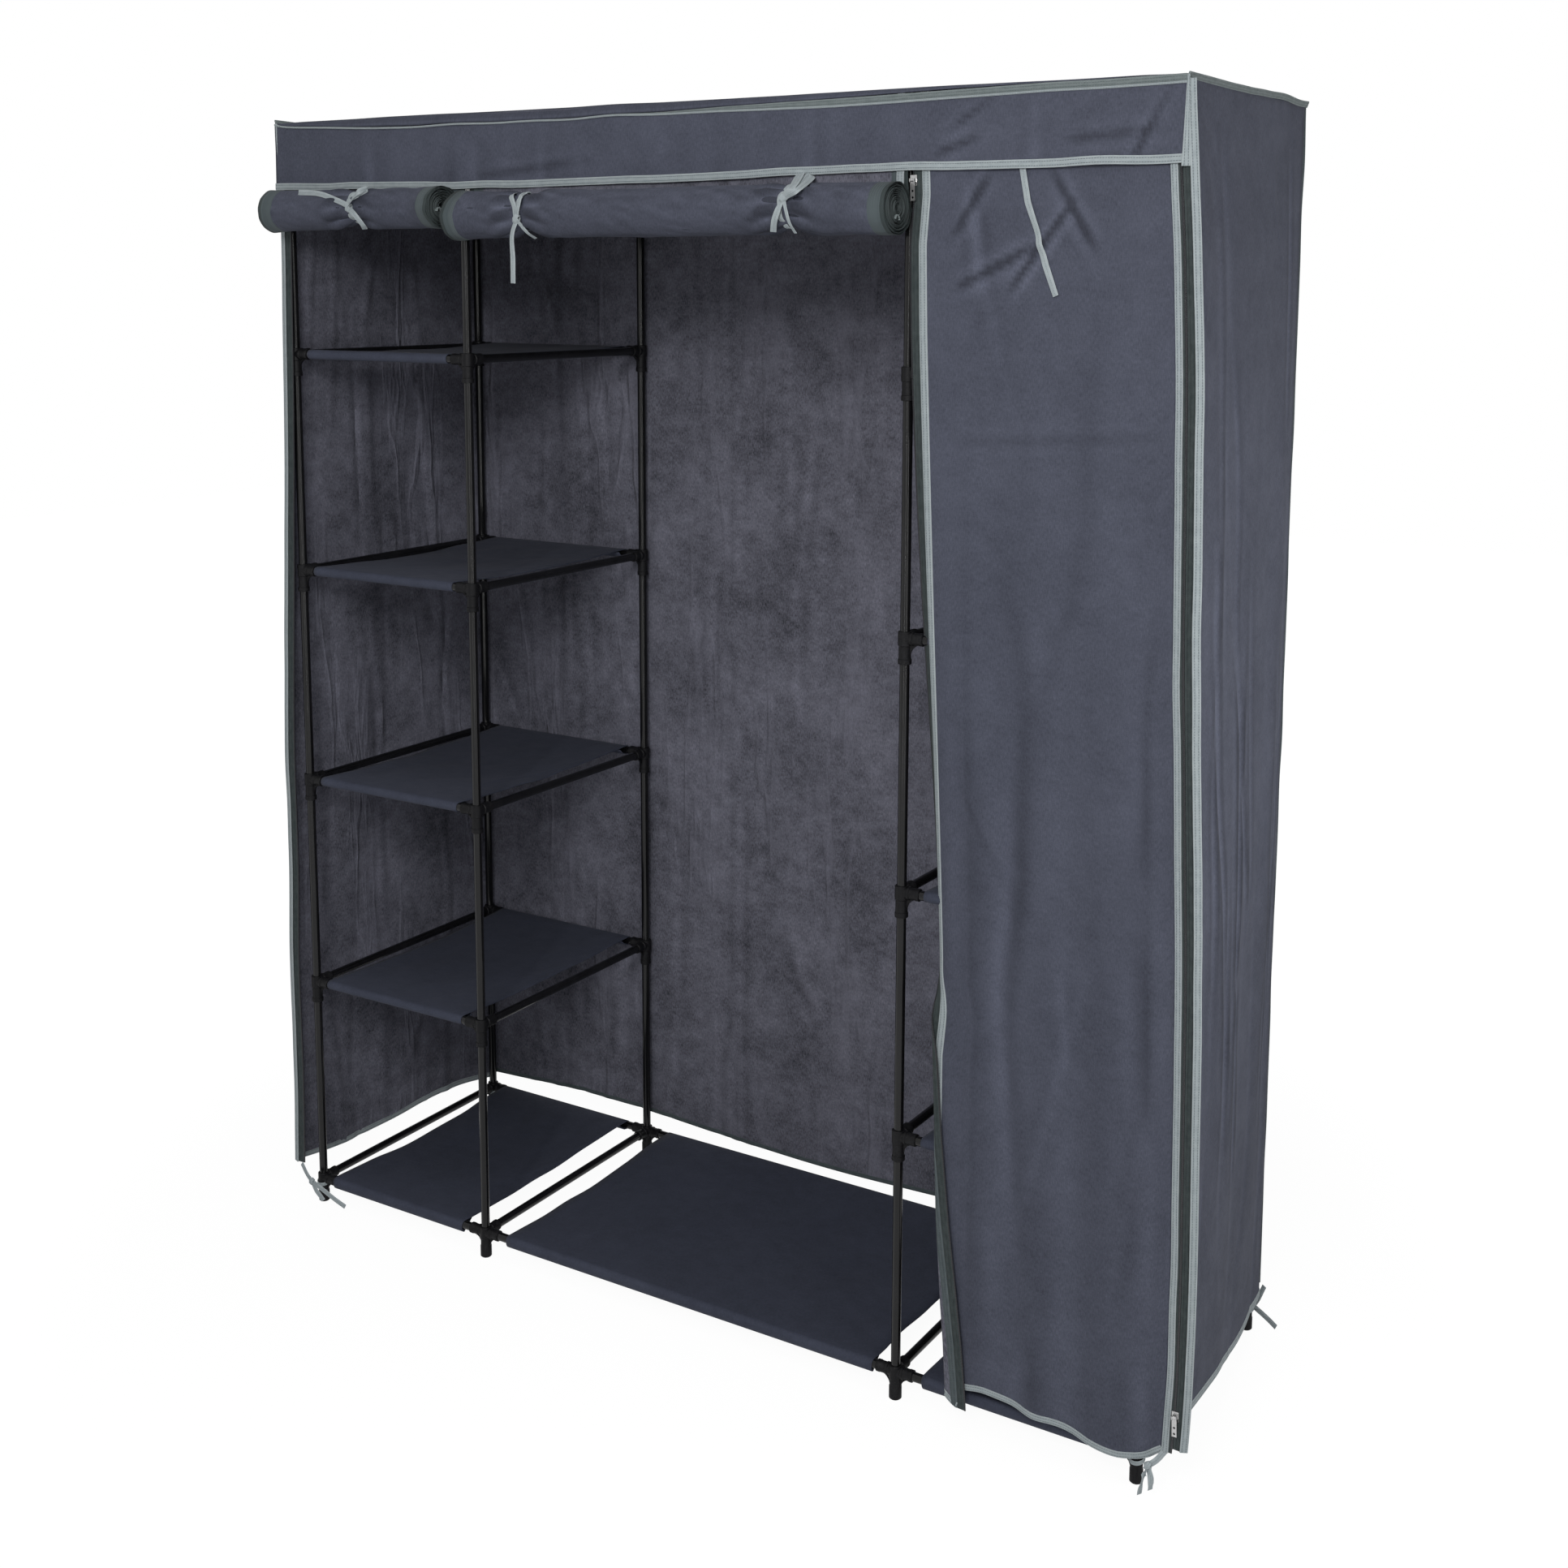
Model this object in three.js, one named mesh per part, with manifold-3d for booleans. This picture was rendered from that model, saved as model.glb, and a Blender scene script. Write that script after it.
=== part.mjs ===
// Portable fabric wardrobe, in millimetres, +Z up.
// Eight steel posts carry ring frames on six levels. Fabric shelves are sleeved on the rings' rails.
// A sewn cover with three zip flaps hangs over the frame: two flaps are rolled up, the right one is down.
import * as THREE from 'three';
import { mergeVertices } from 'three/addons/utils/BufferGeometryUtils.js';
import Module from 'manifold-3d';

const wasm = await Module();
wasm.setup();

// Driving dimensions of the frame.
const sideBayWidth = 350; // post to post
const middleBayWidth = 730;
const bayDepth = 430;
const levelSpacing = 340;
const baseHeight = 40; // floor to the base rails' axis
const shelfCount = 4; // fabric shelves above each side bay's base
const tubeRadius = 6.5;
const tubeWall = 0.6;
const fitGap = 0.35; // between a tube and what it passes through

// Plastic connectors.
const hubWall = 2.35; // of the square core where a connector's arms meet
const socketWall = 1.55;
const socketReach = 28; // from the post's axis to the socket's mouth
const sleeveWall = 1.55;
const sleeveDrop = 34; // the sleeve's reach below the rails' axis
const footFloor = 4; // the closed bottom of a foot
const tubeSeat = 12; // from a post's axis to the end of a tube's hollow
const drainRadius = 2;
const teeLength = 44;
const cutOverrun = 2;

// Fabric.
const clothThickness = 1.2;
const shelfSag = 4;
const seamGap = 0.4; // between sewn panels
const shelfStartGap = 30; // from the outer posts' axis to a side bay's fabric
const shelfEndGap = 36; // from a side shelf's fabric to the inner posts' axis
const baseEndGap = 44; // the same for a side bay's base fabric
const middleBaseStartGap = 63;
const middleBaseEndGap = 35;

// Cover.
const coverOffset = 13; // from the outer posts' axis to the cloth
const leftFlare = 38; // how far each lower corner stands out past the upper one
const rightFlare = 58;
const backFlare = 10;
const roofSag = 1.5; // between the bays' frames
const hemHeight = 62;
const hemWave = 8;
const frontHemRise = 14; // the side hems are higher at the front
const wrinkleDepth = 5;
const wrinkleDriftShare = 0.12; // how far a wrinkle wanders on its way up, of its spacing
const wrinkleEdgeShares = [0.12, 0.15]; // of the width and height, flat beside the seams
const backWrinkles = 6;
const sideWrinkles = 3;
const backHemWaves = 1.5;
const valanceHeight = 98;
const valanceStandoff = 6; // in front of the flaps' plane
const valanceHemDip = 7;
const valanceDipShare = 0.7; // of its width, from the left

// Rolled flaps.
const leftRollRadius = 31;
const middleRollRadius = 34;
const rollCore = 6;
const rollPitch = 5.6;
const rollAxisDrop = 34; // from the valance's hem to the left roll's axis
const middleRollDrop = 12; // the wider roll hangs lower
const rollSqueezeShare = 0.84;
const squeezeReach = 36; // how far from a tie the roll is drawn in
const dividerOffset = 20; // from the second post's axis to the zip between the two rolls
const dividerTape = 4.4;
const leftTieShare = 0.5; // of the left bay's width
const middleTieShares = [0.21, 0.81]; // of the middle bay's width

// Right flap.
const flapHemHeight = 34;
const flapHemWave = 22;
const flapTopLeft = 20; // from the third post's axis to the flap's left edge, at the top
const flapLean = 72; // how far that edge has moved to the right at the hem
const flapCurlWidth = 42;
const flapCurlDepth = 16;
const flapFoldDepth = 14;
const flapArchShare = 0.6; // of the hem's width, where it rises in an arch
const flapFolds = 1.6;
const flapFoldStartShare = 0.1;
const flapEdgeShares = [0.1, 0.2]; // of the width, flat beside the zips: for the curl and the folds
const flapFallPower = 1.5; // how late on the way down the folds grow

// Zips.
const tapeWidth = 11;
const chainWidth = 2.2;
const chainThickness = 2.6;
const chainSpace = 2.2; // between the two halves of a chain
const sliderWidth = 9;
const sliderLength = 13;
const plateThickness = 1.4;
const bridgeWidth = 1.4;
const slotGap = 0.3;
const pinRadius = 0.9;
const pinStandoff = 3.3; // from the front plate to the pin's axis
const cheekThickness = 1.1;
const knuckleRadius = 2.1;
const knuckleLength = 4.2;
const pullWidth = 6.4;
const pullLength = 25;
const pullThickness = 1.2;
const pullHoleRadius = 1.6;
const pullHoleSpacing = 8;
const stopHeight = 40; // a closed slider's height above the bottom hem
const parkedDrop = 12; // an open slider's distance below the valance's hem

// Ribbon ties.
const ribbonWidth = 11;
const ribbonThickness = 1;
const bowLength = 34;
const bowHeight = 9;
const bowLoopShares = [0.27, 0.28]; // of a bow's length: a loop's centre and half its length
const tieStartShare = 0.31; // of a turn, where a tie meets the top of the roll
const shortTailShares = [0.6, -0.9]; // of a bow's length, sideways and down
const longTailShares = [-0.25, -2.9];
const sideTailShares = [-1, 0.26];
const farTailShares = [0.3, -0.7];
const flapTieLength = 150;
const flapTieLeanShare = 0.19;
const footTieHeight = 20;
const footTailLength = 74;
const footTailShares = [1, 0.5]; // of that length, for a corner's two tails
const footTailDropShares = [0.33, 0.5]; // of the tie's height
const farCornerTailShare = 0.5; // the other corners' tails against the front left one's

// How finely round shapes and cloth are cut.
const roundSides = 6;
const drainSides = 4;
const pinSides = 12; // also of the knuckle that turns round the pin
const spiralSteps = 10; // in each turn
const tieSteps = 10;
const bowSteps = 5;
const shelfSteps = 4;
const backGrid = [24, 5];
const sideGrid = [10, 5];
const roofGrid = [12, 4];
const valanceGrid = [16, 2];
const flapGrid = [20, 10];
const weldTolerance = 1e-3;
const seamOverlap = 0.3;

const frameWidth = 2 * sideBayWidth + middleBayWidth;
const postPlaces = [
  -frameWidth / 2, -middleBayWidth / 2, middleBayWidth / 2, frameWidth / 2,
];
const shelfWidth = sideBayWidth - shelfStartGap - shelfEndGap;
const baseWidth = sideBayWidth - shelfStartGap - baseEndGap;
const middleBaseWidth = middleBayWidth - middleBaseStartGap - middleBaseEndGap;
const frontPost = -bayDepth / 2;
const boreRadius = tubeRadius + fitGap;
const hubHalf = boreRadius + hubWall;
const socketRadius = boreRadius + socketWall;
const sleeveRadius = boreRadius + sleeveWall;
const topLevel = baseHeight + (shelfCount + 1) * levelSpacing;
const hubTop = topLevel + hubHalf;
const coverTop = hubTop + seamGap;
const clothFront = frontPost - coverOffset;
const clothBack = -clothFront;
const panelTop = coverTop - seamGap;
const valanceHem = panelTop - valanceHeight;
const flapFront = clothFront;
const valanceFront = clothFront - valanceStandoff;

const steel = { color: 0x16181a, roughness: 0.35, metalness: 0.75 };
const fabric = { color: 0x4a4f5f, roughness: 0.95, metalness: 0 };
const shelfFabric = { color: 0x2a2d38, roughness: 0.95, metalness: 0 };
const ribbon = { color: 0x9ba5a6, roughness: 0.85, metalness: 0 };
const zipMetal = { color: 0xb9bcc0, roughness: 0.3, metalness: 0.95 };

const wardrobe = new THREE.Group();

function addPiece(name, geometry, finish, group = wardrobe) {
  geometry.computeVertexNormals();
  const mesh = new THREE.Mesh(geometry, new THREE.MeshStandardMaterial(finish));
  mesh.name = name;
  group.add(mesh);
  return mesh;
}

// A closed geometry as a solid that can be joined and cut.
function solidOf(geometry) {
  const bare = geometry.index ? geometry.toNonIndexed() : geometry.clone();
  bare.deleteAttribute('normal');
  bare.deleteAttribute('uv');
  const merged = mergeVertices(bare, weldTolerance);
  const vertProperties = merged.attributes.position.array;
  const triVerts = new Uint32Array(merged.index.array);
  return new wasm.Manifold(new wasm.Mesh({ numProp: 3, vertProperties, triVerts }));
}

function geometryOf(solid) {
  const { vertProperties, triVerts } = solid.getMesh();
  const geometry = new THREE.BufferGeometry();
  geometry.setAttribute('position', new THREE.BufferAttribute(vertProperties, 3));
  geometry.setIndex(new THREE.BufferAttribute(triVerts, 1));
  return geometry.toNonIndexed();
}

const joined = (solids) => solids.reduce((whole, piece) => whole.add(piece));
const cut = (solid, tools) => tools.reduce((whole, tool) => whole.subtract(tool), solid);

// A rod with flat sides towards the axes, from one coordinate to another along x, y or z.
function rod(radius, axis, from, to, [a, b], sides = roundSides) {
  const length = to - from;
  const geometry = new THREE.CylinderGeometry(
    radius, radius, length, sides, 1, false, Math.PI / sides,
  );
  const middle = (from + to) / 2;
  if (axis === 'x') geometry.rotateZ(Math.PI / 2).translate(middle, a, b);
  if (axis === 'y') geometry.translate(a, middle, b);
  if (axis === 'z') geometry.rotateX(Math.PI / 2).translate(a, b, middle);
  return solidOf(geometry);
}

function block([x0, y0, z0], [x1, y1, z1]) {
  const geometry = new THREE.BoxGeometry(x1 - x0, y1 - y0, z1 - z0);
  geometry.translate((x0 + x1) / 2, (y0 + y1) / 2, (z0 + z1) / 2);
  return solidOf(geometry);
}

// A closed outline carried through sections: place(point, section) gives a point of the skin.
function loft(outline, sectionCount, place) {
  const flat = outline.map(([a, b]) => new THREE.Vector2(a, b));
  const caps = THREE.ShapeUtils.triangulateShape(flat, []);
  const rings = [];
  for (let s = 0; s < sectionCount; s += 1) {
    rings.push(outline.map((point) => place(point, s)));
  }
  const corners = [];
  const count = outline.length;
  for (let s = 0; s + 1 < sectionCount; s += 1) {
    for (let i = 0; i < count; i += 1) {
      const next = (i + 1) % count;
      const [a, b] = [rings[s][i], rings[s][next]];
      const [c, d] = [rings[s + 1][next], rings[s + 1][i]];
      corners.push(a, b, c, a, c, d);
    }
  }
  const last = rings[sectionCount - 1];
  for (const [i, j, k] of caps) {
    corners.push(rings[0][i], rings[0][k], rings[0][j], last[i], last[j], last[k]);
  }
  return new THREE.BufferGeometry().setFromPoints(corners);
}

// Turns the faces of a geometry outwards where its outline ran the other way.
function facingOut(geometry) {
  const solid = solidOf(geometry);
  if (solid.volume() > 0) return geometry;
  const places = geometry.getAttribute('position');
  const turned = [];
  for (let i = 0; i < places.count; i += 3) {
    for (const k of [i, i + 2, i + 1]) turned.push(new THREE.Vector3().fromBufferAttribute(places, k));
  }
  return new THREE.BufferGeometry().setFromPoints(turned);
}

// A sheet of cloth: a grid of points place(u, v), thickened evenly along its own normal.
function cloth([columns, rows], place, thickness = clothThickness) {
  const step = 1e-3;
  const layers = [1, -1].map((side) => {
    const grid = [];
    for (let j = 0; j <= rows; j += 1) {
      for (let i = 0; i <= columns; i += 1) {
        const [u, v] = [i / columns, j / rows];
        const across = place(u + step, v).sub(place(u - step, v));
        const up = place(u, v + step).sub(place(u, v - step));
        const normal = across.cross(up).normalize();
        grid.push(place(u, v).addScaledVector(normal, (side * thickness) / 2));
      }
    }
    return grid;
  });
  const [front, back] = layers;
  const wide = columns + 1;
  const corners = [];
  const quad = (a, b, c, d) => corners.push(a, b, c, a, c, d);
  for (let j = 0; j < rows; j += 1) {
    for (let i = 0; i < columns; i += 1) {
      const k = j * wide + i;
      quad(front[k], front[k + 1], front[k + wide + 1], front[k + wide]);
      quad(back[k], back[k + wide], back[k + wide + 1], back[k + 1]);
    }
  }
  const wall = (a, b) => quad(front[a], back[a], back[b], front[b]);
  for (let i = 0; i < columns; i += 1) {
    wall(i, i + 1);
    wall(rows * wide + i + 1, rows * wide + i);
  }
  for (let j = 0; j < rows; j += 1) {
    wall((j + 1) * wide, j * wide);
    wall(j * wide + columns, (j + 1) * wide + columns);
  }
  return new THREE.BufferGeometry().setFromPoints(corners);
}

const mix = THREE.MathUtils.lerp;
const vector = (x, y, z) => new THREE.Vector3(x, y, z);
// Rises from nothing at both ends of 0 to 1 and is full in between.
const taper = (t, share) => THREE.MathUtils.smoothstep(Math.min(t, 1 - t), 0, share);

// Posts: plain tubes that stand in the feet and pass through every connector.
function post() {
  const bottom = footFloor + fitGap;
  const wall = rod(tubeRadius, 'z', bottom, hubTop, [0, 0]);
  const bore = rod(tubeRadius - tubeWall, 'z', bottom - cutOverrun, hubTop + cutOverrun, [0, 0]);
  return geometryOf(cut(wall, [bore]));
}

// A tube between two connectors, its hollow closed at both ends but for a drain into the first post's bore.
function seatedTube(axis, half, [a, b]) {
  const seated = half - tubeSeat;
  return {
    add: rod(tubeRadius, axis, -half, half, [a, b]),
    cuts: [
      rod(tubeRadius - tubeWall, axis, -seated, seated, [a, b]),
      rod(drainRadius, axis, -half, -seated + cutOverrun, [a, b], drainSides),
    ],
  };
}

// One level of a side bay: two rails, two depth tubes and four corner connectors.
// inner is 1 where the middle bay lies to the right, -1 where it lies to the left.
function ringFrame({ inner, isBase, isTop }) {
  const halfWidth = sideBayWidth / 2;
  const halfDepth = bayDepth / 2;
  const hub = hubHalf;
  const adds = [];
  const cuts = [];
  const addArm = (axis, from, to, place) => {
    adds.push(rod(socketRadius, axis, Math.min(from, to), Math.max(from, to), place));
  };
  const addInnerSocket = (y) => {
    const x = inner * halfWidth;
    const mouth = x + inner * socketReach;
    const stop = x + inner * tubeRadius;
    const past = mouth + inner * cutOverrun;
    addArm('x', x, mouth, [y, 0]);
    cuts.push(rod(boreRadius, 'x', Math.min(stop, past), Math.max(stop, past), [y, 0]));
  };
  for (const sign of [-1, 1]) {
    const rail = seatedTube('x', halfWidth, [sign * halfDepth, 0]);
    const depthTube = seatedTube('y', halfDepth, [sign * halfWidth, 0]);
    adds.push(rail.add, depthTube.add);
    cuts.push(...rail.cuts, ...depthTube.cuts);
    if (isBase || isTop) addInnerSocket(sign * halfDepth);
  }
  for (const x of [-halfWidth, halfWidth]) {
    for (const y of [-halfDepth, halfDepth]) {
      const sleeveEnd = isBase ? -baseHeight : -sleeveDrop;
      const boreEnd = isBase ? footFloor - baseHeight : sleeveEnd - cutOverrun;
      adds.push(
        block([x - hub, y - hub, -hubHalf], [x + hub, y + hub, hubHalf]),
        rod(sleeveRadius, 'z', sleeveEnd, 0, [x, y]),
      );
      addArm('x', x, x - Math.sign(x) * socketReach, [y, 0]);
      addArm('y', y, y - Math.sign(y) * socketReach, [x, 0]);
      cuts.push(rod(boreRadius, 'z', boreEnd, hubHalf + cutOverrun, [x, y]));
    }
  }
  if (isTop) {
    const x = inner * halfWidth;
    addArm('y', -teeLength / 2, teeLength / 2, [x, 0]);
    addInnerSocket(0);
  }
  return geometryOf(cut(joined(adds), cuts));
}

// A rail of the middle bay, pushed into the sockets that face each other.
function middleRail(endGap) {
  const half = middleBayWidth / 2 - endGap;
  const wall = rod(tubeRadius, 'x', -half, half, [0, 0]);
  const hollow = rod(tubeRadius - tubeWall, 'x', -half - cutOverrun, half + cutOverrun, [0, 0]);
  return geometryOf(cut(wall, [hollow]));
}

// A shelf's fabric: one piece with a sewn sleeve round the front rail and one round the back rail.
function shelf(width) {
  const inner = boreRadius;
  const outer = inner + clothThickness / Math.cos(Math.PI / roundSides);
  const flatHeight = outer * Math.cos(Math.PI / roundSides);
  const half = bayDepth / 2;
  const corner = (radius, k, y) => {
    const angle = (2 * k * Math.PI) / roundSides;
    return new THREE.Vector2(y + radius * Math.cos(angle), radius * Math.sin(angle));
  };
  const underside = flatHeight - clothThickness;
  const top = [];
  const under = [];
  for (let i = 1; i < shelfSteps; i += 1) {
    const y = mix(-half, half, i / shelfSteps);
    const sag = shelfSag * Math.sin((Math.PI * i) / shelfSteps);
    top.push(new THREE.Vector2(y, flatHeight - sag));
    under.push(new THREE.Vector2(y, underside - sag));
  }
  const low = corner(outer, 0, 0);
  const high = corner(outer, 1, 0);
  const joinShare = (underside - low.y) / (high.y - low.y);
  const joinReach = mix(low.x, high.x, joinShare);
  const front = [2, 3, 4, 5, 0].map((k) => corner(outer, k, -half));
  const back = [3, 4, 5, 0, 1].map((k) => corner(outer, k, half));
  const outline = [
    ...front,
    new THREE.Vector2(-half + joinReach, underside),
    ...under,
    new THREE.Vector2(half - joinReach, underside),
    ...back,
    ...top.reverse(),
  ];
  const profile = new THREE.Shape(outline);
  for (const y of [-half, half]) {
    const hole = [];
    for (let k = 0; k < roundSides; k += 1) hole.push(corner(inner, k, y));
    profile.holes.push(new THREE.Path(hole));
  }
  const geometry = new THREE.ExtrudeGeometry(profile, { depth: width, bevelEnabled: false });
  // The profile is drawn across the depth and carried from left to right.
  const turn = new THREE.Matrix4().makeBasis(vector(0, 1, 0), vector(0, 0, 1), vector(1, 0, 0));
  return geometry.applyMatrix4(turn);
}

for (const [i, x] of postPlaces.entries()) {
  for (const [label, y] of [['front', frontPost], ['back', -frontPost]]) {
    addPiece(`${label}_post_${i + 1}`, post(), steel).position.set(x, y, 0);
  }
}

const sideBays = [
  { label: 'left', centre: (postPlaces[0] + postPlaces[1]) / 2, inner: 1 },
  { label: 'right', centre: (postPlaces[2] + postPlaces[3]) / 2, inner: -1 },
];
for (const { label, centre, inner } of sideBays) {
  for (let level = 0; level <= shelfCount + 1; level += 1) {
    const isBase = level === 0;
    const isTop = level === shelfCount + 1;
    const height = baseHeight + level * levelSpacing;
    const place = isBase ? 'base_frame' : isTop ? 'top_frame' : `shelf_frame_${level}`;
    const ring = ringFrame({ inner, isBase, isTop });
    addPiece(`${label}_${place}`, ring, steel).position.set(centre, 0, height);
    if (isTop) continue;
    const width = isBase ? baseWidth : shelfWidth;
    const start = inner > 0
      ? postPlaces[0] + shelfStartGap
      : postPlaces[2] + sideBayWidth - shelfStartGap - width;
    const title = isBase ? `${label}_base_fabric` : `${label}_shelf_${level}`;
    addPiece(title, shelf(width), shelfFabric).position.set(start, 0, height);
  }
}

const middleRails = [
  ['middle_base_front_rail', frontPost, baseHeight],
  ['middle_base_back_rail', -frontPost, baseHeight],
  ['middle_top_front_rail', frontPost, topLevel],
  ['middle_top_back_rail', -frontPost, topLevel],
  ['hanging_rail', 0, topLevel],
];
for (const [name, y, height] of middleRails) {
  const endGap = tubeRadius + 2 * fitGap;
  addPiece(name, middleRail(endGap), steel).position.set(0, y, height);
}
addPiece('middle_base_fabric', shelf(middleBaseWidth), shelfFabric)
  .position.set(postPlaces[1] + middleBaseStartGap, 0, baseHeight);

// The cover's four upright corner lines: each lower end stands out past the upper one.
const halfCover = frameWidth / 2 + coverOffset;
const flareAt = (flare, z) => halfCover + flare * (1 - z / panelTop);
const leftCorner = (z) => -flareAt(leftFlare, z);
const rightCorner = (z) => flareAt(rightFlare, z);
const backCorner = (side, z) => side * flareAt(backFlare, z);
const hemAt = (t) => hemHeight + hemWave * Math.sin(2 * Math.PI * t);

// Near-vertical wrinkles, only outwards and flat at the seams.
function wrinkle(u, v, count) {
  const drift = wrinkleDriftShare * Math.sin(2 * Math.PI * v);
  const wave = (1 + Math.sin(2 * Math.PI * (count * u + drift))) / 2;
  const [across, up] = wrinkleEdgeShares;
  return wrinkleDepth * taper(u, across) * taper(v, up) * wave;
}

function backPanel() {
  return cloth(backGrid, (u, v) => {
    const z = mix(hemAt(backHemWaves * u), panelTop, v);
    const x = mix(backCorner(-1, z), backCorner(1, z), u);
    return vector(x, clothBack + wrinkle(u, v, backWrinkles), z);
  });
}

// Half a zip: a tape with half a chain on its edge, along a straight leaning line.
// edge(z) is the sewn side, and the chain lies towards side.
function zipHalf(edge, side, front, from, to, width = tapeWidth) {
  const sheet = clothThickness / 2;
  const chain = chainThickness / 2;
  const tape = width - chainWidth;
  const outline = [
    [0, -sheet], [tape, -sheet], [tape, -chain], [width, -chain],
    [width, chain], [tape, chain], [tape, sheet], [0, sheet],
  ];
  const place = ([a, b], s) => {
    const z = s === 0 ? from : to;
    return vector(edge(z) + side * a, front + b, z);
  };
  return solidOf(facingOut(loft(outline, 2, place)));
}

// A side panel: cloth from the back corner to the front corner, and its half of the corner's zip.
function sidePanel(side) {
  const frontCorner = side < 0 ? leftCorner : rightCorner;
  const backEdge = clothBack - seamGap - clothThickness / 2;
  const sheet = cloth(sideGrid, (u, v) => {
    const z = mix(hemAt(u + 1 / 2) + frontHemRise * (1 - u), panelTop, v);
    const y = mix(clothFront - clothThickness / 2, backEdge, u);
    const reach = mix(Math.abs(frontCorner(z)), Math.abs(backCorner(side, z)), u);
    return vector(side * (reach - seamGap + wrinkle(u, v, sideWrinkles)), y, z);
  });
  const line = (z) => frontCorner(z) - side * (seamGap + seamOverlap);
  const zip = zipHalf(line, -side, clothFront, hemHeight + frontHemRise, panelTop);
  return geometryOf(solidOf(facingOut(sheet)).add(zip));
}

function roof() {
  const half = halfCover + clothThickness / 2;
  const front = valanceFront - clothThickness / 2;
  return cloth(roofGrid, (u, v) => {
    const sag = roofSag * Math.sin(Math.PI * v) * Math.abs(Math.sin(3 * Math.PI * u));
    const z = coverTop + clothThickness / 2 - sag;
    return vector(mix(-half, half, u), mix(front, clothBack + clothThickness / 2, v), z);
  });
}

const valanceHemAt = (x) => {
  const share = (x + halfCover) / (2 * halfCover) / valanceDipShare;
  return valanceHem - valanceHemDip * Math.sin(Math.PI * Math.min(1, share));
};

function valance() {
  return cloth(valanceGrid, (u, v) => {
    const x = mix(-halfCover, halfCover, u);
    return vector(x, valanceFront, mix(valanceHemAt(x), panelTop, v));
  });
}

addPiece('back_panel', facingOut(backPanel()), fabric);
addPiece('left_side_panel', sidePanel(-1), fabric);
addPiece('right_side_panel', sidePanel(1), fabric);
addPiece('roof_panel', facingOut(roof()), fabric);
addPiece('valance', facingOut(valance()), fabric);

// A rolled flap: cloth wound as a spiral, whose outer turn runs up behind the valance.
function rolledFlap({ from, to, radius, axisHeight, ties }) {
  const axisY = flapFront - radius;
  const turns = Math.floor((radius - rollCore) / rollPitch);
  const steps = turns * spiralSteps;
  const half = clothThickness / 2;
  const outline = [];
  for (const side of [1, -1]) {
    const strip = [];
    for (let i = 0; i <= steps; i += 1) {
      const angle = (2 * Math.PI * i) / spiralSteps;
      const reach = radius - rollPitch * (turns - i / spiralSteps) + side * half;
      strip.push([reach * Math.cos(angle), reach * Math.sin(angle)]);
    }
    strip.push([radius + side * half, panelTop - axisHeight]);
    outline.push(...(side > 0 ? strip : strip.reverse()));
  }
  const places = [from];
  for (const tie of ties) places.push(tie - squeezeReach, tie, tie + squeezeReach);
  places.push(to);
  const geometry = loft(outline, places.length, ([a, b], s) => {
    const squeezed = ties.includes(places[s]) ? rollSqueezeShare : 1;
    const isTop = b > radius;
    const share = isTop ? 1 : squeezed;
    return vector(places[s], axisY + a * share, axisHeight + b * share);
  });
  return facingOut(geometry);
}

// Where the chains' middles are: beside each corner line, between the rolls and beside the right flap.
const parkedHeight = valanceHem - parkedDrop;
const closedHeight = hemHeight + frontHemRise + stopHeight;
const chainMiddle = tapeWidth + chainSpace / 2 + seamGap + seamOverlap;
const dividerX = postPlaces[1] + dividerOffset;
const rollEndGap = dividerTape + chainSpace / 2;
const flapLeftEdge = (z) => postPlaces[2] + flapTopLeft + flapLean * (1 - z / panelTop);
const flapZipX = (z) => flapLeftEdge(z) - tapeWidth - chainSpace / 2;

const leftRoll = {
  from: leftCorner(parkedHeight) + chainMiddle + sliderWidth,
  to: dividerX - rollEndGap,
  radius: leftRollRadius,
  axisHeight: valanceHem - rollAxisDrop,
  ties: [mix(postPlaces[0], postPlaces[1], leftTieShare)],
};
const middleRoll = {
  from: dividerX + rollEndGap,
  to: flapZipX(parkedHeight) - sliderWidth,
  radius: middleRollRadius,
  axisHeight: valanceHem - rollAxisDrop - middleRollDrop,
  ties: middleTieShares.map((share) => mix(postPlaces[1], postPlaces[2], share)),
};
const dividerEdge = () => leftRoll.to - seamOverlap;
const dividerZip = zipHalf(
  dividerEdge, 1, flapFront, leftRoll.axisHeight, panelTop, dividerTape + seamOverlap,
);
const leftRollSolid = solidOf(rolledFlap(leftRoll)).add(dividerZip);
addPiece('left_rolled_flap', geometryOf(leftRollSolid), fabric);
addPiece('middle_rolled_flap', rolledFlap(middleRoll), fabric);

// The right flap hangs from the top seam: half a zip on each edge, folds that grow towards the hem.
const flapRightEdge = (z) => rightCorner(z) - seamGap - seamOverlap - 2 * tapeWidth - chainSpace;
const flapHemAt = (t) => {
  const arch = Math.sin(Math.PI * Math.min(1, t / flapArchShare)) ** 2;
  return flapHemHeight + flapHemWave * arch;
};

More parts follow.
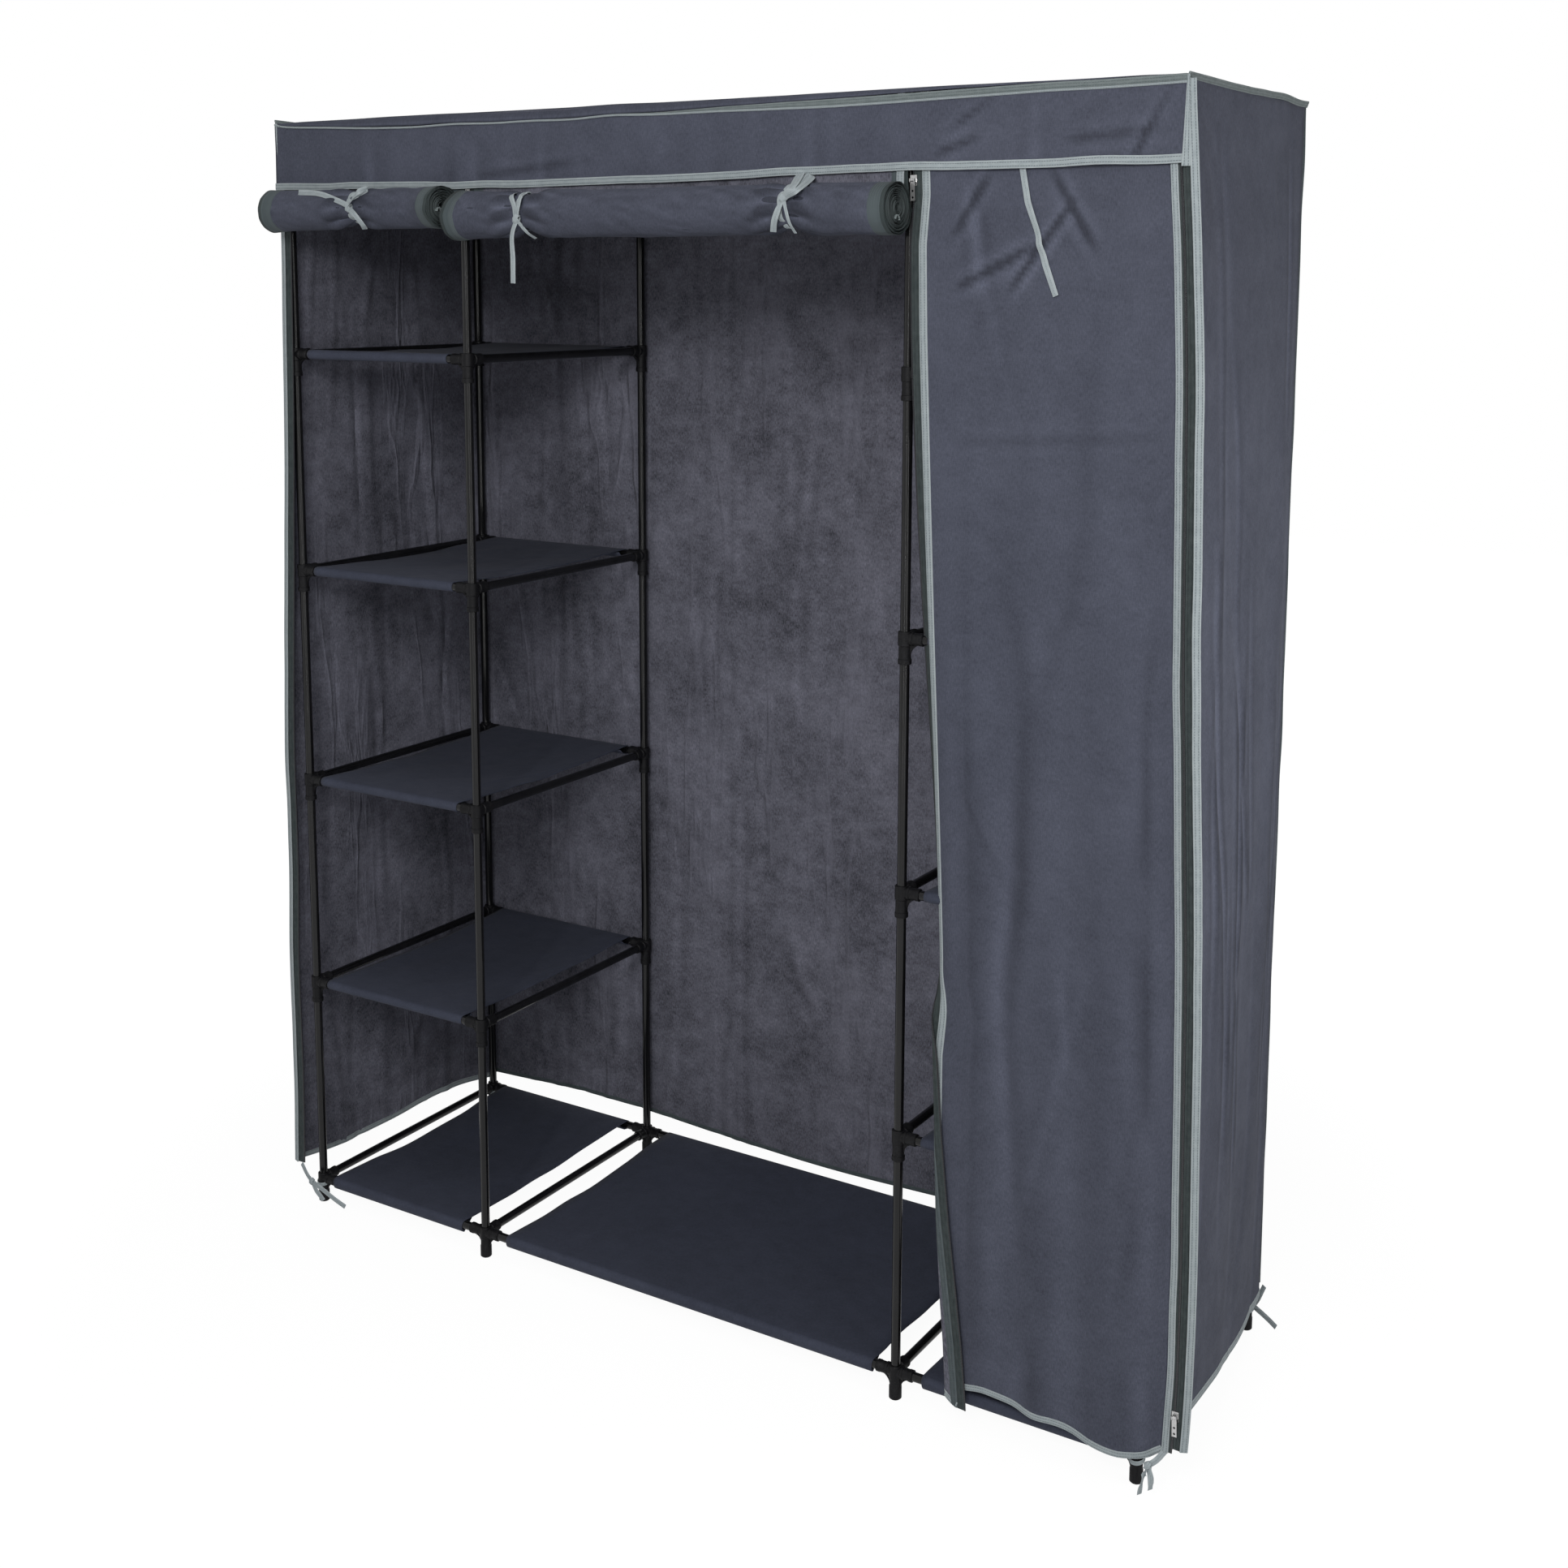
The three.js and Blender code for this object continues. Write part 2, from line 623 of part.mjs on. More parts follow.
function rightFlap() {
  const [curlEdge, foldEdge] = flapEdgeShares;
  const sheet = cloth(flapGrid, (u, v) => {
    const z = mix(flapHemAt(u), panelTop, v);
    const [left, right] = [flapLeftEdge(z), flapRightEdge(z)];
    const fromCurl = (u * (right - left)) / flapCurlWidth - 1;
    const curl = Math.exp(-((2 * fromCurl) ** 2)) * taper(u, curlEdge);
    const wave = Math.sin(2 * Math.PI * (flapFolds * u + flapFoldStartShare));
    const fold = Math.max(0, wave) * taper(u, foldEdge);
    const fall = Math.max(0, 1 - v) ** flapFallPower;
    const out = (flapCurlDepth * curl + flapFoldDepth * fold) * fall;
    return vector(mix(left, right, u), flapFront - out, z);
  });
  const bottom = flapHemHeight + seamOverlap;
  const leftZip = zipHalf((z) => flapLeftEdge(z) + seamOverlap, -1, flapFront, bottom, panelTop);
  const rightZip = zipHalf((z) => flapRightEdge(z) - seamOverlap, 1, flapFront, bottom, panelTop);
  return geometryOf(solidOf(facingOut(sheet)).add(leftZip).add(rightZip));
}
addPiece('right_flap', rightFlap(), fabric);

// A slider: two plates that hold both chain halves, a bridge between these and a pin in two cheeks.
// Its middle is at the origin and its front looks along -Y.
function slider() {
  const inside = chainThickness / 2 + slotGap;
  const outside = inside + plateThickness;
  const half = sliderLength / 2;
  const wide = sliderWidth / 2;
  const pinY = -outside - pinStandoff;
  const cheekX = knuckleLength / 2 + slotGap;
  const pieces = [
    block([-wide, -outside, -half], [wide, -inside, half]),
    block([-wide, inside, -half], [wide, outside, half]),
    block([-bridgeWidth / 2, -outside, -half], [bridgeWidth / 2, outside, 0]),
    rod(pinRadius, 'x', -cheekX - cheekThickness, cheekX + cheekThickness, [pinY, 0], pinSides),
  ];
  for (const side of [-1, 1]) {
    const [near, far] = [side * cheekX, side * (cheekX + cheekThickness)];
    pieces.push(block(
      [Math.min(near, far), pinY - knuckleRadius, -knuckleRadius],
      [Math.max(near, far), -inside, knuckleRadius],
    ));
  }
  return geometryOf(joined(pieces));
}

// A pull: a flat tab with two holes that hangs from a knuckle round the slider's pin. The tab is
// wider than the way between the cheeks, so it starts outside the circle of their corners.
function pull() {
  const cheekReach = knuckleRadius * Math.SQRT2;
  const tab = block(
    [-pullWidth / 2, -pullThickness / 2, -pullLength],
    [pullWidth / 2, pullThickness / 2, -cheekReach - slotGap],
  );
  const neck = block(
    [-knuckleLength / 2, -pullThickness / 2, -2 * knuckleRadius],
    [knuckleLength / 2, pullThickness / 2, 0],
  );
  const ends = [-knuckleLength / 2, knuckleLength / 2];
  const knuckle = rod(knuckleRadius, 'x', ...ends, [0, 0], pinSides);
  const reach = pullThickness + cutOverrun;
  const pinHole = rod(pinRadius + slotGap, 'x', -pullWidth, pullWidth, [0, 0], pinSides);
  const holes = [1, 2].map((k) => {
    const z = -pullLength + k * pullHoleSpacing - pullHoleSpacing / 2;
    return rod(pullHoleRadius, 'y', -reach, reach, [0, z]);
  });
  return geometryOf(cut(joined([tab, neck, knuckle]), [pinHole, ...holes]));
}

// Each slider lies between the two halves of its chain, square to the line that the chain follows.
const zips = [
  { label: 'left_corner', x: (z) => leftCorner(z) + chainMiddle, height: parkedHeight },
  { label: 'divider', x: () => dividerX, height: parkedHeight },
  { label: 'right_flap', x: flapZipX, height: parkedHeight },
  { label: 'right_corner', x: (z) => rightCorner(z) - chainMiddle, height: closedHeight },
];
const pinDistance = chainThickness / 2 + slotGap + plateThickness + pinStandoff;
for (const { label, x, height } of zips) {
  const holder = new THREE.Group();
  holder.position.set(x(height), flapFront, height);
  holder.rotation.y = Math.atan2(x(height + 1) - x(height), 1);
  wardrobe.add(holder);
  addPiece(`${label}_zip_slider`, slider(), zipMetal, holder);
  addPiece(`${label}_zip_pull`, pull(), zipMetal, holder).position.y = -pinDistance;
}

// A ribbon along points across the depth, given as [y, z], its width along X.
function ribbonStrip(points, x) {
  const last = points.length - 1;
  const strip = cloth([last, 1], (u, v) => {
    const t = u * last;
    const k = THREE.MathUtils.clamp(Math.floor(t), 0, last - 1);
    const [[y0, z0], [y1, z1]] = [points[k], points[k + 1]];
    const across = x + (v - 1 / 2) * ribbonWidth;
    return vector(across, mix(y0, y1, t - k), mix(z0, z1, t - k));
  }, ribbonThickness);
  return solidOf(facingOut(strip));
}

// A flat end of ribbon in a plane along the front, from a place towards another by dx and dz.
function ribbonTail(x, y, z, [dx, dz]) {
  const length = Math.hypot(dx, dz);
  const tail = new THREE.BoxGeometry(ribbonWidth, ribbonThickness, length);
  tail.translate(0, 0, -length / 2).rotateY(Math.atan2(-dx, -dz)).translate(x, y, z);
  return solidOf(tail);
}

// A tie round a rolled flap: down in front of the roll, under it and up behind the cloth,
// closed by a knot with a two-looped bow in front.
function rollTie({ radius, axisHeight }, x, tails) {
  const axisY = flapFront - radius;
  const clear = clothThickness / 2 + ribbonThickness / 2 + fitGap;
  const edgeShare = mix(rollSqueezeShare, 1, ribbonWidth / 2 / squeezeReach);
  const reach = radius * edgeShare + clear;
  const [startAngle, endAngle] = [2 * Math.PI * tieStartShare, 2 * Math.PI];
  const start = valanceHemAt(x) - ribbonThickness;
  const points = [[valanceFront, start]];
  for (let i = 0; i <= tieSteps; i += 1) {
    const angle = mix(startAngle, endAngle, i / tieSteps);
    points.push([axisY + reach * Math.cos(angle), axisHeight + reach * Math.sin(angle)]);
  }
  const risen = (start - axisHeight) / (panelTop - axisHeight);
  points.push([mix(axisY + radius * edgeShare, flapFront, risen) + clear, start]);
  const bowFront = axisY - radius - clothThickness / 2 - fitGap - ribbonThickness;
  const knot = block(
    [x - ribbonWidth / 2, bowFront - ribbonThickness, axisHeight - ribbonWidth / 2],
    [x + ribbonWidth / 2, axisY - reach + ribbonThickness / 4, axisHeight + ribbonWidth / 2],
  );
  const pieces = [ribbonStrip(points, x), knot];
  for (const side of [-1, 1]) {
    const loop = new THREE.Shape();
    const [centre, reachAcross] = bowLoopShares.map((share) => share * bowLength);
    loop.absellipse(side * centre, 0, reachAcross, bowHeight, 0, 2 * Math.PI);
    const options = { depth: ribbonThickness, bevelEnabled: false, curveSegments: bowSteps };
    const plate = new THREE.ExtrudeGeometry(loop, options).rotateX(Math.PI / 2);
    pieces.push(solidOf(plate.translate(x, bowFront + ribbonThickness / 2, axisHeight)));
  }
  for (const shares of tails) {
    const tail = shares.map((share) => share * bowLength);
    pieces.push(ribbonTail(x, bowFront, axisHeight, tail));
  }
  return geometryOf(joined(pieces));
}

// The right flap's tie hangs open from the valance's hem.
function hangingTie(x) {
  const start = valanceHemAt(x) - fitGap - (ribbonWidth / 2) * flapTieLeanShare;
  const lean = flapTieLength * flapTieLeanShare;
  return geometryOf(ribbonTail(x, valanceFront, start, [lean, -flapTieLength]));
}

// A tie at the cover's lower corner: a ring round the foot, a ribbon up to the hem and two loose ends.
// tailReach is how far along the front the longer end goes, to the right where it is above zero.
function footTie(side, facing, cornerX, tailReach) {
  const x = (side * frameWidth) / 2;
  const y = (facing * bayDepth) / 2;
  const inner = sleeveRadius + fitGap;
  const outer = inner + ribbonThickness / Math.cos(Math.PI / roundSides);
  const half = ribbonWidth / 2;
  const [low, high] = [footTieHeight - half, footTieHeight + half];
  const band = rod(outer, 'z', low, high, [x, y]);
  const hole = rod(inner, 'z', low - cutOverrun, high + cutOverrun, [x, y]);
  const face = y + facing * (hubHalf + fitGap + ribbonThickness / 2);
  const skin = y + facing * (inner * Math.cos(Math.PI / roundSides) + ribbonThickness / 4);
  const knot = block(
    [x - half, Math.min(skin, face), low],
    [x + half, Math.max(skin, face), high],
  );
  const rise = hemHeight - hemWave - seamGap - footTieHeight - half;
  const pieces = [cut(band, [hole]), knot];
  pieces.push(ribbonTail(x, face, footTieHeight, [cornerX - x, rise]));
  for (const [i, share] of footTailShares.entries()) {
    const drop = footTieHeight * footTailDropShares[i];
    pieces.push(ribbonTail(x, face, footTieHeight, [tailReach * share, -drop]));
  }
  return geometryOf(joined(pieces));
}

const [leftTieX] = leftRoll.ties;
const [middleTieX, farTieX] = middleRoll.ties;
const mirroredTailShares = [-shortTailShares[0], shortTailShares[1]];
const rollTies = [
  ['left_roll_tie', leftRoll, leftTieX, [shortTailShares, sideTailShares]],
  ['middle_roll_left_tie', middleRoll, middleTieX, [shortTailShares, longTailShares]],
  ['middle_roll_right_tie', middleRoll, farTieX, [mirroredTailShares, farTailShares]],
];
for (const [name, roll, x, tails] of rollTies) addPiece(name, rollTie(roll, x, tails), ribbon);
addPiece('right_flap_tie', hangingTie((postPlaces[2] + postPlaces[3]) / 2), ribbon);

const farTailReach = footTailLength * farCornerTailShare;
const footTies = [
  ['front_left', -1, -1, leftCorner(hemHeight), footTailLength],
  ['front_right', 1, -1, rightCorner(hemHeight), farTailReach],
  ['back_left', -1, 1, backCorner(-1, hemHeight), -farTailReach],
  ['back_right', 1, 1, backCorner(1, hemHeight), farTailReach],
];
for (const [label, side, facing, cornerX, tailReach] of footTies) {
  addPiece(`${label}_foot_tie`, footTie(side, facing, cornerX, tailReach), ribbon);
}

// The origin is on the floor, below the middle of the whole wardrobe's outline.
const outline = new THREE.Box3().setFromObject(wardrobe, true);
const middle = outline.getCenter(new THREE.Vector3());
wardrobe.position.set(-middle.x, -middle.y, 0);

export default wardrobe;
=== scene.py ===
import math

import bmesh
import bpy
import numpy as np
from mathutils import Matrix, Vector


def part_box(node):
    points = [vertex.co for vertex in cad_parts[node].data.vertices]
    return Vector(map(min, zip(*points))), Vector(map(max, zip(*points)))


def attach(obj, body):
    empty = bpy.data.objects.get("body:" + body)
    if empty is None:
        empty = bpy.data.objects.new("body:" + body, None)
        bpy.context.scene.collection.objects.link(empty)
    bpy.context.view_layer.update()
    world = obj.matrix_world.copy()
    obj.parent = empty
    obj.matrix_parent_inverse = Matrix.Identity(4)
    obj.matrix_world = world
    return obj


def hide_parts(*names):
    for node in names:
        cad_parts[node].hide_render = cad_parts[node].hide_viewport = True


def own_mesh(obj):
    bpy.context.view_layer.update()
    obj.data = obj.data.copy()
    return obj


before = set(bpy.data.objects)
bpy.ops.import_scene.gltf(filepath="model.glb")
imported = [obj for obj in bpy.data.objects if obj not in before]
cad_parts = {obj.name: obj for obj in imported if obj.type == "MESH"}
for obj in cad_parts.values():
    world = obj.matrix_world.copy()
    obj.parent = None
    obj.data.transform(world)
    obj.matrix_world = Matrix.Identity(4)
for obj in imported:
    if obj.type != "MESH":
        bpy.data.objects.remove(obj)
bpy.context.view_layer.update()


# places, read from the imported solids

def cornersOf(node):
    low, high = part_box(node)
    return np.array(low), np.array(high)


def middleOf(node):
    return sum(cornersOf(node)) / 2


hubRise = 0.0092  # from a rail's axis up to the top of its connector
ringNames = ["base_frame"] + [f"shelf_frame_{n}" for n in (1, 2, 3, 4)] + ["top_frame"]
levels = [cornersOf("left_" + ring)[1][2] - hubRise for ring in ringNames]
frontPosts = [middleOf(f"front_post_{n}") for n in (1, 2, 3, 4)]
middle = np.array([(frontPosts[0][0] + frontPosts[3][0]) / 2,
                   (frontPosts[0][1] + middleOf("back_post_1")[1]) / 2, 0])
postX = [post[0] - middle[0] for post in frontPosts]
postY = middleOf("back_post_1")[1] - middle[1]
top = cornersOf("back_panel")[1][2]
print("places read:", len(levels), "levels, top", round(float(top), 4))

cover = {
    "halfWidth": 0.728, "backHalf": 0.7242, "cornerRadius": 0.012,
    "leftFlare": 0.038, "rightFlare": 0.058, "backFlare": 0.006,
    "front": -0.2285, "back": 0.2282, "behind": 0.0015,  # the back panel lies behind its line
    "valanceFront": -0.2335, "valanceHem": top - 0.098,
    "thickness": 0.0009, "bindingWidth": 0.0105, "bindingThickness": 0.0024,
}

# The corners stand out towards the hem, in proportion to the way down from the roof. The tables
# give heights, and how far the left and the right corner lie off their straight lines there.
leftHeights = (0.07, 0.30, 0.54, 0.78, 1.00, 1.24, 1.40, 1.75)
leftShift = (-0.004, -0.003, 0, 0.005, 0, -0.0045, -0.005, -0.0055)
rightHeights = (0, 0.07, 0.116, 0.20, 0.30, 0.69, 1.08, 1.41, 1.60, 1.66, 1.76)
rightShift = (-0.010, -0.006, -0.001, 0.003, 0.006, 0.0115, 0.0072, 0.0112, 0.0068, 0.0025, 0)


def smoothTable(z, heights, values):
    # the mean of five readings, 25 mm apart in height
    return sum(np.interp(z + 0.025 * n, heights, values) for n in (-2, -1, 0, 1, 2)) / 5


def leftCorner(z):
    # x of the left corner: a straight line from roof to hem, less the table's value
    straight = cover["halfWidth"] + cover["leftFlare"] * (1 - z / top)
    return -straight - smoothTable(z, leftHeights, leftShift)


def rightCorner(z):
    # x of the right corner: a straight line from roof to hem, plus the table's value
    straight = cover["halfWidth"] + cover["rightFlare"] * (1 - z / top)
    return straight + smoothTable(z, rightHeights, rightShift)


def backCorner(z):
    # half the width at the back: a straight line from roof to floor
    return cover["backHalf"] + cover["backFlare"] * (1 - z / top)


def cornerArc(way):
    # a back corner is round: both panels end half way round a quarter circle. The way to the
    # corner gives how far the cloth lies in from the corner, to both sides.
    r = cover["cornerRadius"]
    angle = limited(1 - way / r) * np.pi / 4
    return r * (1 - np.cos(angle)), np.where(way < r, r - r * np.sin(angle), way)


# shapes

def limited(value):
    return np.clip(value, 0, 1)


def pointsAt(x, y, z):
    # one array of points from three arrays or numbers
    return np.stack(np.broadcast_arrays(x, y, z), -1)


def smoothNoise(x, y, seed):
    # random heights on a lattice, blended with 3t^2 - 2t^3 between its points
    lattice = np.random.default_rng(seed).uniform(-1, 1, (64, 64))
    x, y = np.broadcast_arrays(np.asarray(x, float), np.asarray(y, float))
    column, row = np.floor(x).astype(int), np.floor(y).astype(int)
    a, b = x - column, y - row
    a, b = a * a * (3 - 2 * a), b * b * (3 - 2 * b)

    def pick(i, j):
        return lattice[(column + i) % 64, (row + j) % 64]

    low = pick(0, 0) * (1 - a) + pick(1, 0) * a
    return low * (1 - b) + (pick(0, 1) * (1 - a) + pick(1, 1) * a) * b


def smoothThrough(knots, count):
    # Catmull-Rom: a cubic between two knots, with half the chord of their neighbours as slopes
    knots = np.asarray(knots, float)
    t = np.linspace(0, len(knots) - 1, count)
    k = np.minimum(t.astype(int), len(knots) - 2)
    f = (t - k)[:, None]
    padded = np.vstack([2 * knots[0] - knots[1], knots, 2 * knots[-1] - knots[-2]])
    a, b, c, d = (padded[k + n] for n in range(4))
    return 0.5 * (2 * b + (c - a) * f + (2 * a - 5 * b + 4 * c - d) * f**2
                  + (3 * b - a - 3 * c + d) * f**3)


def ease(value):
    # 3t^2 - 2t^3 between 0 and 1
    t = limited(value)
    return t * t * (3 - 2 * t)


def unit(vectors):
    # each vector divided by its length
    vectors = np.asarray(vectors, float)
    return vectors / np.maximum(np.linalg.norm(vectors, axis=-1, keepdims=True), 1e-9)


def runLength(path):
    # metres along the path up to each of its points
    steps = np.linalg.norm(np.diff(path, axis=0), axis=-1)
    return np.concatenate([[0], np.cumsum(steps)])


def flatOval(count, power=0.4):
    # cos and sin of the angle, each raised to a small power: a flat band with round edges
    angle = np.arange(count) * 2 * np.pi / count
    sides = np.stack([np.cos(angle), np.sin(angle)], -1)
    return np.sign(sides) * np.abs(sides)**power / 2


def strip(path, across, width, thickness, slot=0, count=12, loop=False):
    # a flat oval carried along the path: width along across, thickness along across x tangent
    path = np.asarray(path, float)
    if loop:
        tangent = unit(np.roll(path, -1, 0) - np.roll(path, 1, 0))
    else:
        tangent = unit(np.gradient(path, axis=0))
    across = np.broadcast_to(np.asarray(across, float), path.shape)
    across = unit(across - (across * tangent).sum(-1, keepdims=True) * tangent)
    normal = np.cross(across, tangent)
    oval = flatOval(count)
    wide = np.broadcast_to(width, len(path))[:, None, None]
    thick = np.broadcast_to(thickness, len(path))[:, None, None]
    grid = (path[:, None] + across[:, None] * oval[None, :, :1] * wide
            + normal[:, None] * oval[None, :, 1:] * thick)
    along = np.broadcast_to(runLength(path)[:, None], grid.shape[:2])
    side = np.broadcast_to(oval[None, :, 0] + 0.5, grid.shape[:2])
    uv = np.stack([along, side], -1)
    if not loop:
        grid, uv = closeEnds(grid), np.concatenate([uv[:1], uv, uv[-1:]])
    return {"grid": grid, "closed": (loop, True), "uv": uv, "slot": slot}


def clothBand(points, thickness, frontSlot, backSlot):
    # a band sewn round an edge: the cloth's own points, moved out to both sides by half the
    # thickness x (1 - v^6)^(1/2), with v from -1 to 1 across the band
    along, across = unit(np.gradient(points, axis=0)), unit(np.gradient(points, axis=1))
    normal = unit(np.cross(across, along))
    columns = points.shape[1]
    v = np.linspace(-0.985, 0.985, columns)
    half = normal * (thickness / 2 * np.sqrt(1 - v**6))[None, :, None]
    grid = closeEnds(np.concatenate([points - half, (points + half)[:, ::-1]], 1))
    u = np.concatenate([[0], runLength(points[:, columns // 2]), [0]])
    u[-1] = u[-2]
    side = np.concatenate([v, v[::-1]]) / 2 + 0.5
    uv = np.stack(np.broadcast_arrays(u[:, None], side[None]), -1)
    slots = np.repeat([frontSlot, backSlot], columns)
    return {"grid": grid, "closed": (False, True), "uv": uv, "slot": np.tile(slots, len(grid) - 1)}


def closeEnds(grid):
    # one more row at each end, with all its points at that end's middle
    first, last = grid[:1].mean(1, keepdims=True), grid[-1:].mean(1, keepdims=True)
    shape = (1,) + grid.shape[1:]
    return np.concatenate([np.broadcast_to(first, shape), grid, np.broadcast_to(last, shape)])


def turned(start, direction, profile, slot=0, sides=28):
    # rings of points round a line: the profile gives each ring's distance along it and its radius
    direction = unit(direction)
    helper = np.array([0, 0, 1.0]) if abs(direction[2]) < 0.9 else np.array([1.0, 0, 0])
    across = unit(np.cross(direction, helper))
    normal = np.cross(across, direction)
    distance, radius = np.array(profile, float).T
    angle = np.arange(sides) * 2 * np.pi / sides
    ring = across * np.cos(angle)[:, None] + normal * np.sin(angle)[:, None]
    grid = (np.asarray(start, float) + direction * distance[:, None, None]
            + ring[None] * radius[:, None, None])
    return {"grid": grid, "closed": (False, True), "slot": slot}


def quadsOf(rows, columns, closed, offset):
    # each face joins point (i, j) with (i + 1, j), (i + 1, j + 1) and (i, j + 1)
    i, j = np.meshgrid(np.arange(rows if closed[0] else rows - 1),
                       np.arange(columns if closed[1] else columns - 1), indexing="ij")
    ni, nj = (i + 1) % rows, (j + 1) % columns
    corners = [i * columns + j, ni * columns + j, ni * columns + nj, i * columns + nj]
    return np.stack(corners, -1).reshape(-1, 4) + offset


sharpAngle = math.radians(40)  # faces that meet at more than this keep a hard edge


def buildPiece(name, parts, materials, replaces=()):
    # joins the parts' grids into one mesh, with its uv and relief, that rides on the root body
    points, faces, slots, uvs, reliefs, start = [], [], [], [], [], 0
    for part in parts:
        grid = part["grid"]
        rows, columns = grid.shape[:2]
        quads = quadsOf(rows, columns, part.get("closed", (False, False)), start)
        points.append(grid.reshape(-1, 3) + middle)
        faces.append(quads)
        slots.append(np.broadcast_to(part.get("slot", 0), len(quads)))
        uvs.append(part.get("uv", np.zeros((rows, columns, 2))).reshape(-1, 2))
        reliefs.append(part.get("relief", np.zeros((rows, columns))).ravel())
        start += rows * columns
    points, faces = np.concatenate(points), np.concatenate(faces)
    mesh = bpy.data.meshes.new(name)
    mesh.vertices.add(len(points))
    mesh.vertices.foreach_set("co", points.ravel())
    mesh.loops.add(faces.size)
    mesh.loops.foreach_set("vertex_index", faces.ravel())
    mesh.polygons.add(len(faces))
    mesh.polygons.foreach_set("loop_start", np.arange(len(faces)) * 4)
    mesh.polygons.foreach_set("material_index", np.concatenate(slots).astype(np.int32))
    mesh.update(calc_edges=True)
    relief = mesh.attributes.new("relief", "FLOAT", "POINT")
    relief.data.foreach_set("value", np.concatenate(reliefs))
    layer = mesh.uv_layers.new(name="weave")
    layer.data.foreach_set("uv", np.concatenate(uvs)[faces.ravel()].ravel())
    work = bmesh.new()
    work.from_mesh(mesh)
    bmesh.ops.remove_doubles(work, verts=work.verts, dist=1e-6)
    work.to_mesh(mesh)
    work.free()
    mesh.shade_smooth()
    mesh.set_sharp_from_angle(angle=sharpAngle)
    for material in materials:
        mesh.materials.append(material)
    piece = bpy.data.objects.new(name, mesh)
    bpy.context.scene.collection.objects.link(piece)
    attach(piece, "root")
    if replaces:
        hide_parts(*replaces)
    return piece


def thicken(piece, thickness):
    # the far face takes the next material, so cloth has an outside and a felted inside
    wall = piece.modifiers.new("thickness", "SOLIDIFY")
    wall.thickness, wall.offset, wall.use_even_offset = thickness, -1, False
    wall.material_offset = 1


def creaseField(s, z, crease):
    # a sum of soft ridges: each has a line that leans and drifts, and rises as
    # exp(-(distance / width)^2) across it and exp(-(way / reach)^4) along it
    random = np.random.default_rng(crease["seed"])
    height = np.zeros(np.broadcast(s, z).shape)
    for k in range(crease["count"]):
        centre = random.uniform(*crease["across"])
        level = random.uniform(*crease["along"])
        lean = random.normal(0, crease["lean"])
        wide = random.uniform(*crease["width"])
        reach = random.uniform(*crease["reach"])
        size = random.uniform(0.4, 1) * crease["height"] * random.choice([-1, 1])
        drift = crease["drift"] * smoothNoise(z * 5 + k, k * 1.7, crease["seed"])
        line = centre + lean * (z - level) + drift
        height = height + size * np.exp(-((s - line) / wide)**2 - ((z - level) / reach)**4)
    return height


def creasesAt(s, z, lines):
    # ridges at given places: (s, z) of both ends, width and height; a ridge falls off as
    # exp(-(distance / width)^2) across it and exp(-(way / half its length)^4) along it
    height = np.zeros(np.broadcast(s, z).shape)
    for s0, z0, s1, z1, wide, rise in lines:
        length = math.hypot(s1 - s0, z1 - z0)
        us, uz = (s1 - s0) / length, (z1 - z0) / length
        ds, dz = s - (s0 + s1) / 2, z - (z0 + z1) / 2
        off, way = ds * uz - dz * us, ds * us + dz * uz
        height = height + rise * np.exp(-(off / wide)**2 - (way / (0.55 * length))**4)
    return height


# materials

def putNode(tree, kind, inputs=None, **settings):
    node = tree.nodes.new(kind)
    for key, value in settings.items():
        setattr(node, key, value)
    for key, value in (inputs or {}).items():
        if isinstance(value, bpy.types.NodeSocket):
            tree.links.new(value, node.inputs[key])
        else:
            node.inputs[key].default_value = value
    return node


def calculate(tree, operation, *values):
    return putNode(tree, "ShaderNodeMath", dict(enumerate(values)), operation=operation).outputs[0]


def remap(tree, value, low, high, toLow, toHigh):
    node = putNode(tree, "ShaderNodeMapRange", {
        "Value": value, "From Min": low, "From Max": high, "To Min": toLow, "To Max": toHigh})
    return node.outputs["Result"]


def mixColours(tree, factor, a, b, blend="MIX"):
    # sockets 0, 6 and 7 of the Mix node are the factor and the two colours
    return putNode(tree, "ShaderNodeMix", {0: factor, 6: a, 7: b},
                   data_type="RGBA", blend_type=blend).outputs[2]


def startGroup(name, inputs, outputs):
    # a node group with named sockets, and the sockets inside it
    tree = bpy.data.node_groups.new(name, "ShaderNodeTree")
    for label, kind, value in inputs:
        socket = tree.interface.new_socket(label, in_out="INPUT", socket_type=kind)
        if value is not None:
            socket.default_value = value
    for label, kind in outputs:
        tree.interface.new_socket(label, in_out="OUTPUT", socket_type=kind)
    return tree, tree.nodes.new("NodeGroupInput").outputs, tree.nodes.new("NodeGroupOutput").inputs


number, colour, vector = "NodeSocketFloat", "NodeSocketColor", "NodeSocketVector"


def stretched(tree, place, x, y, z):
    return putNode(tree, "ShaderNodeMapping", {"Vector": place, "Scale": (x, y, z)}).outputs[0]


def noiseAt(tree, place, scale, detail=3, rough=0.55):
    return putNode(tree, "ShaderNodeTexNoise", {
        "Vector": place, "Scale": scale, "Detail": detail, "Roughness": rough}).outputs[0]


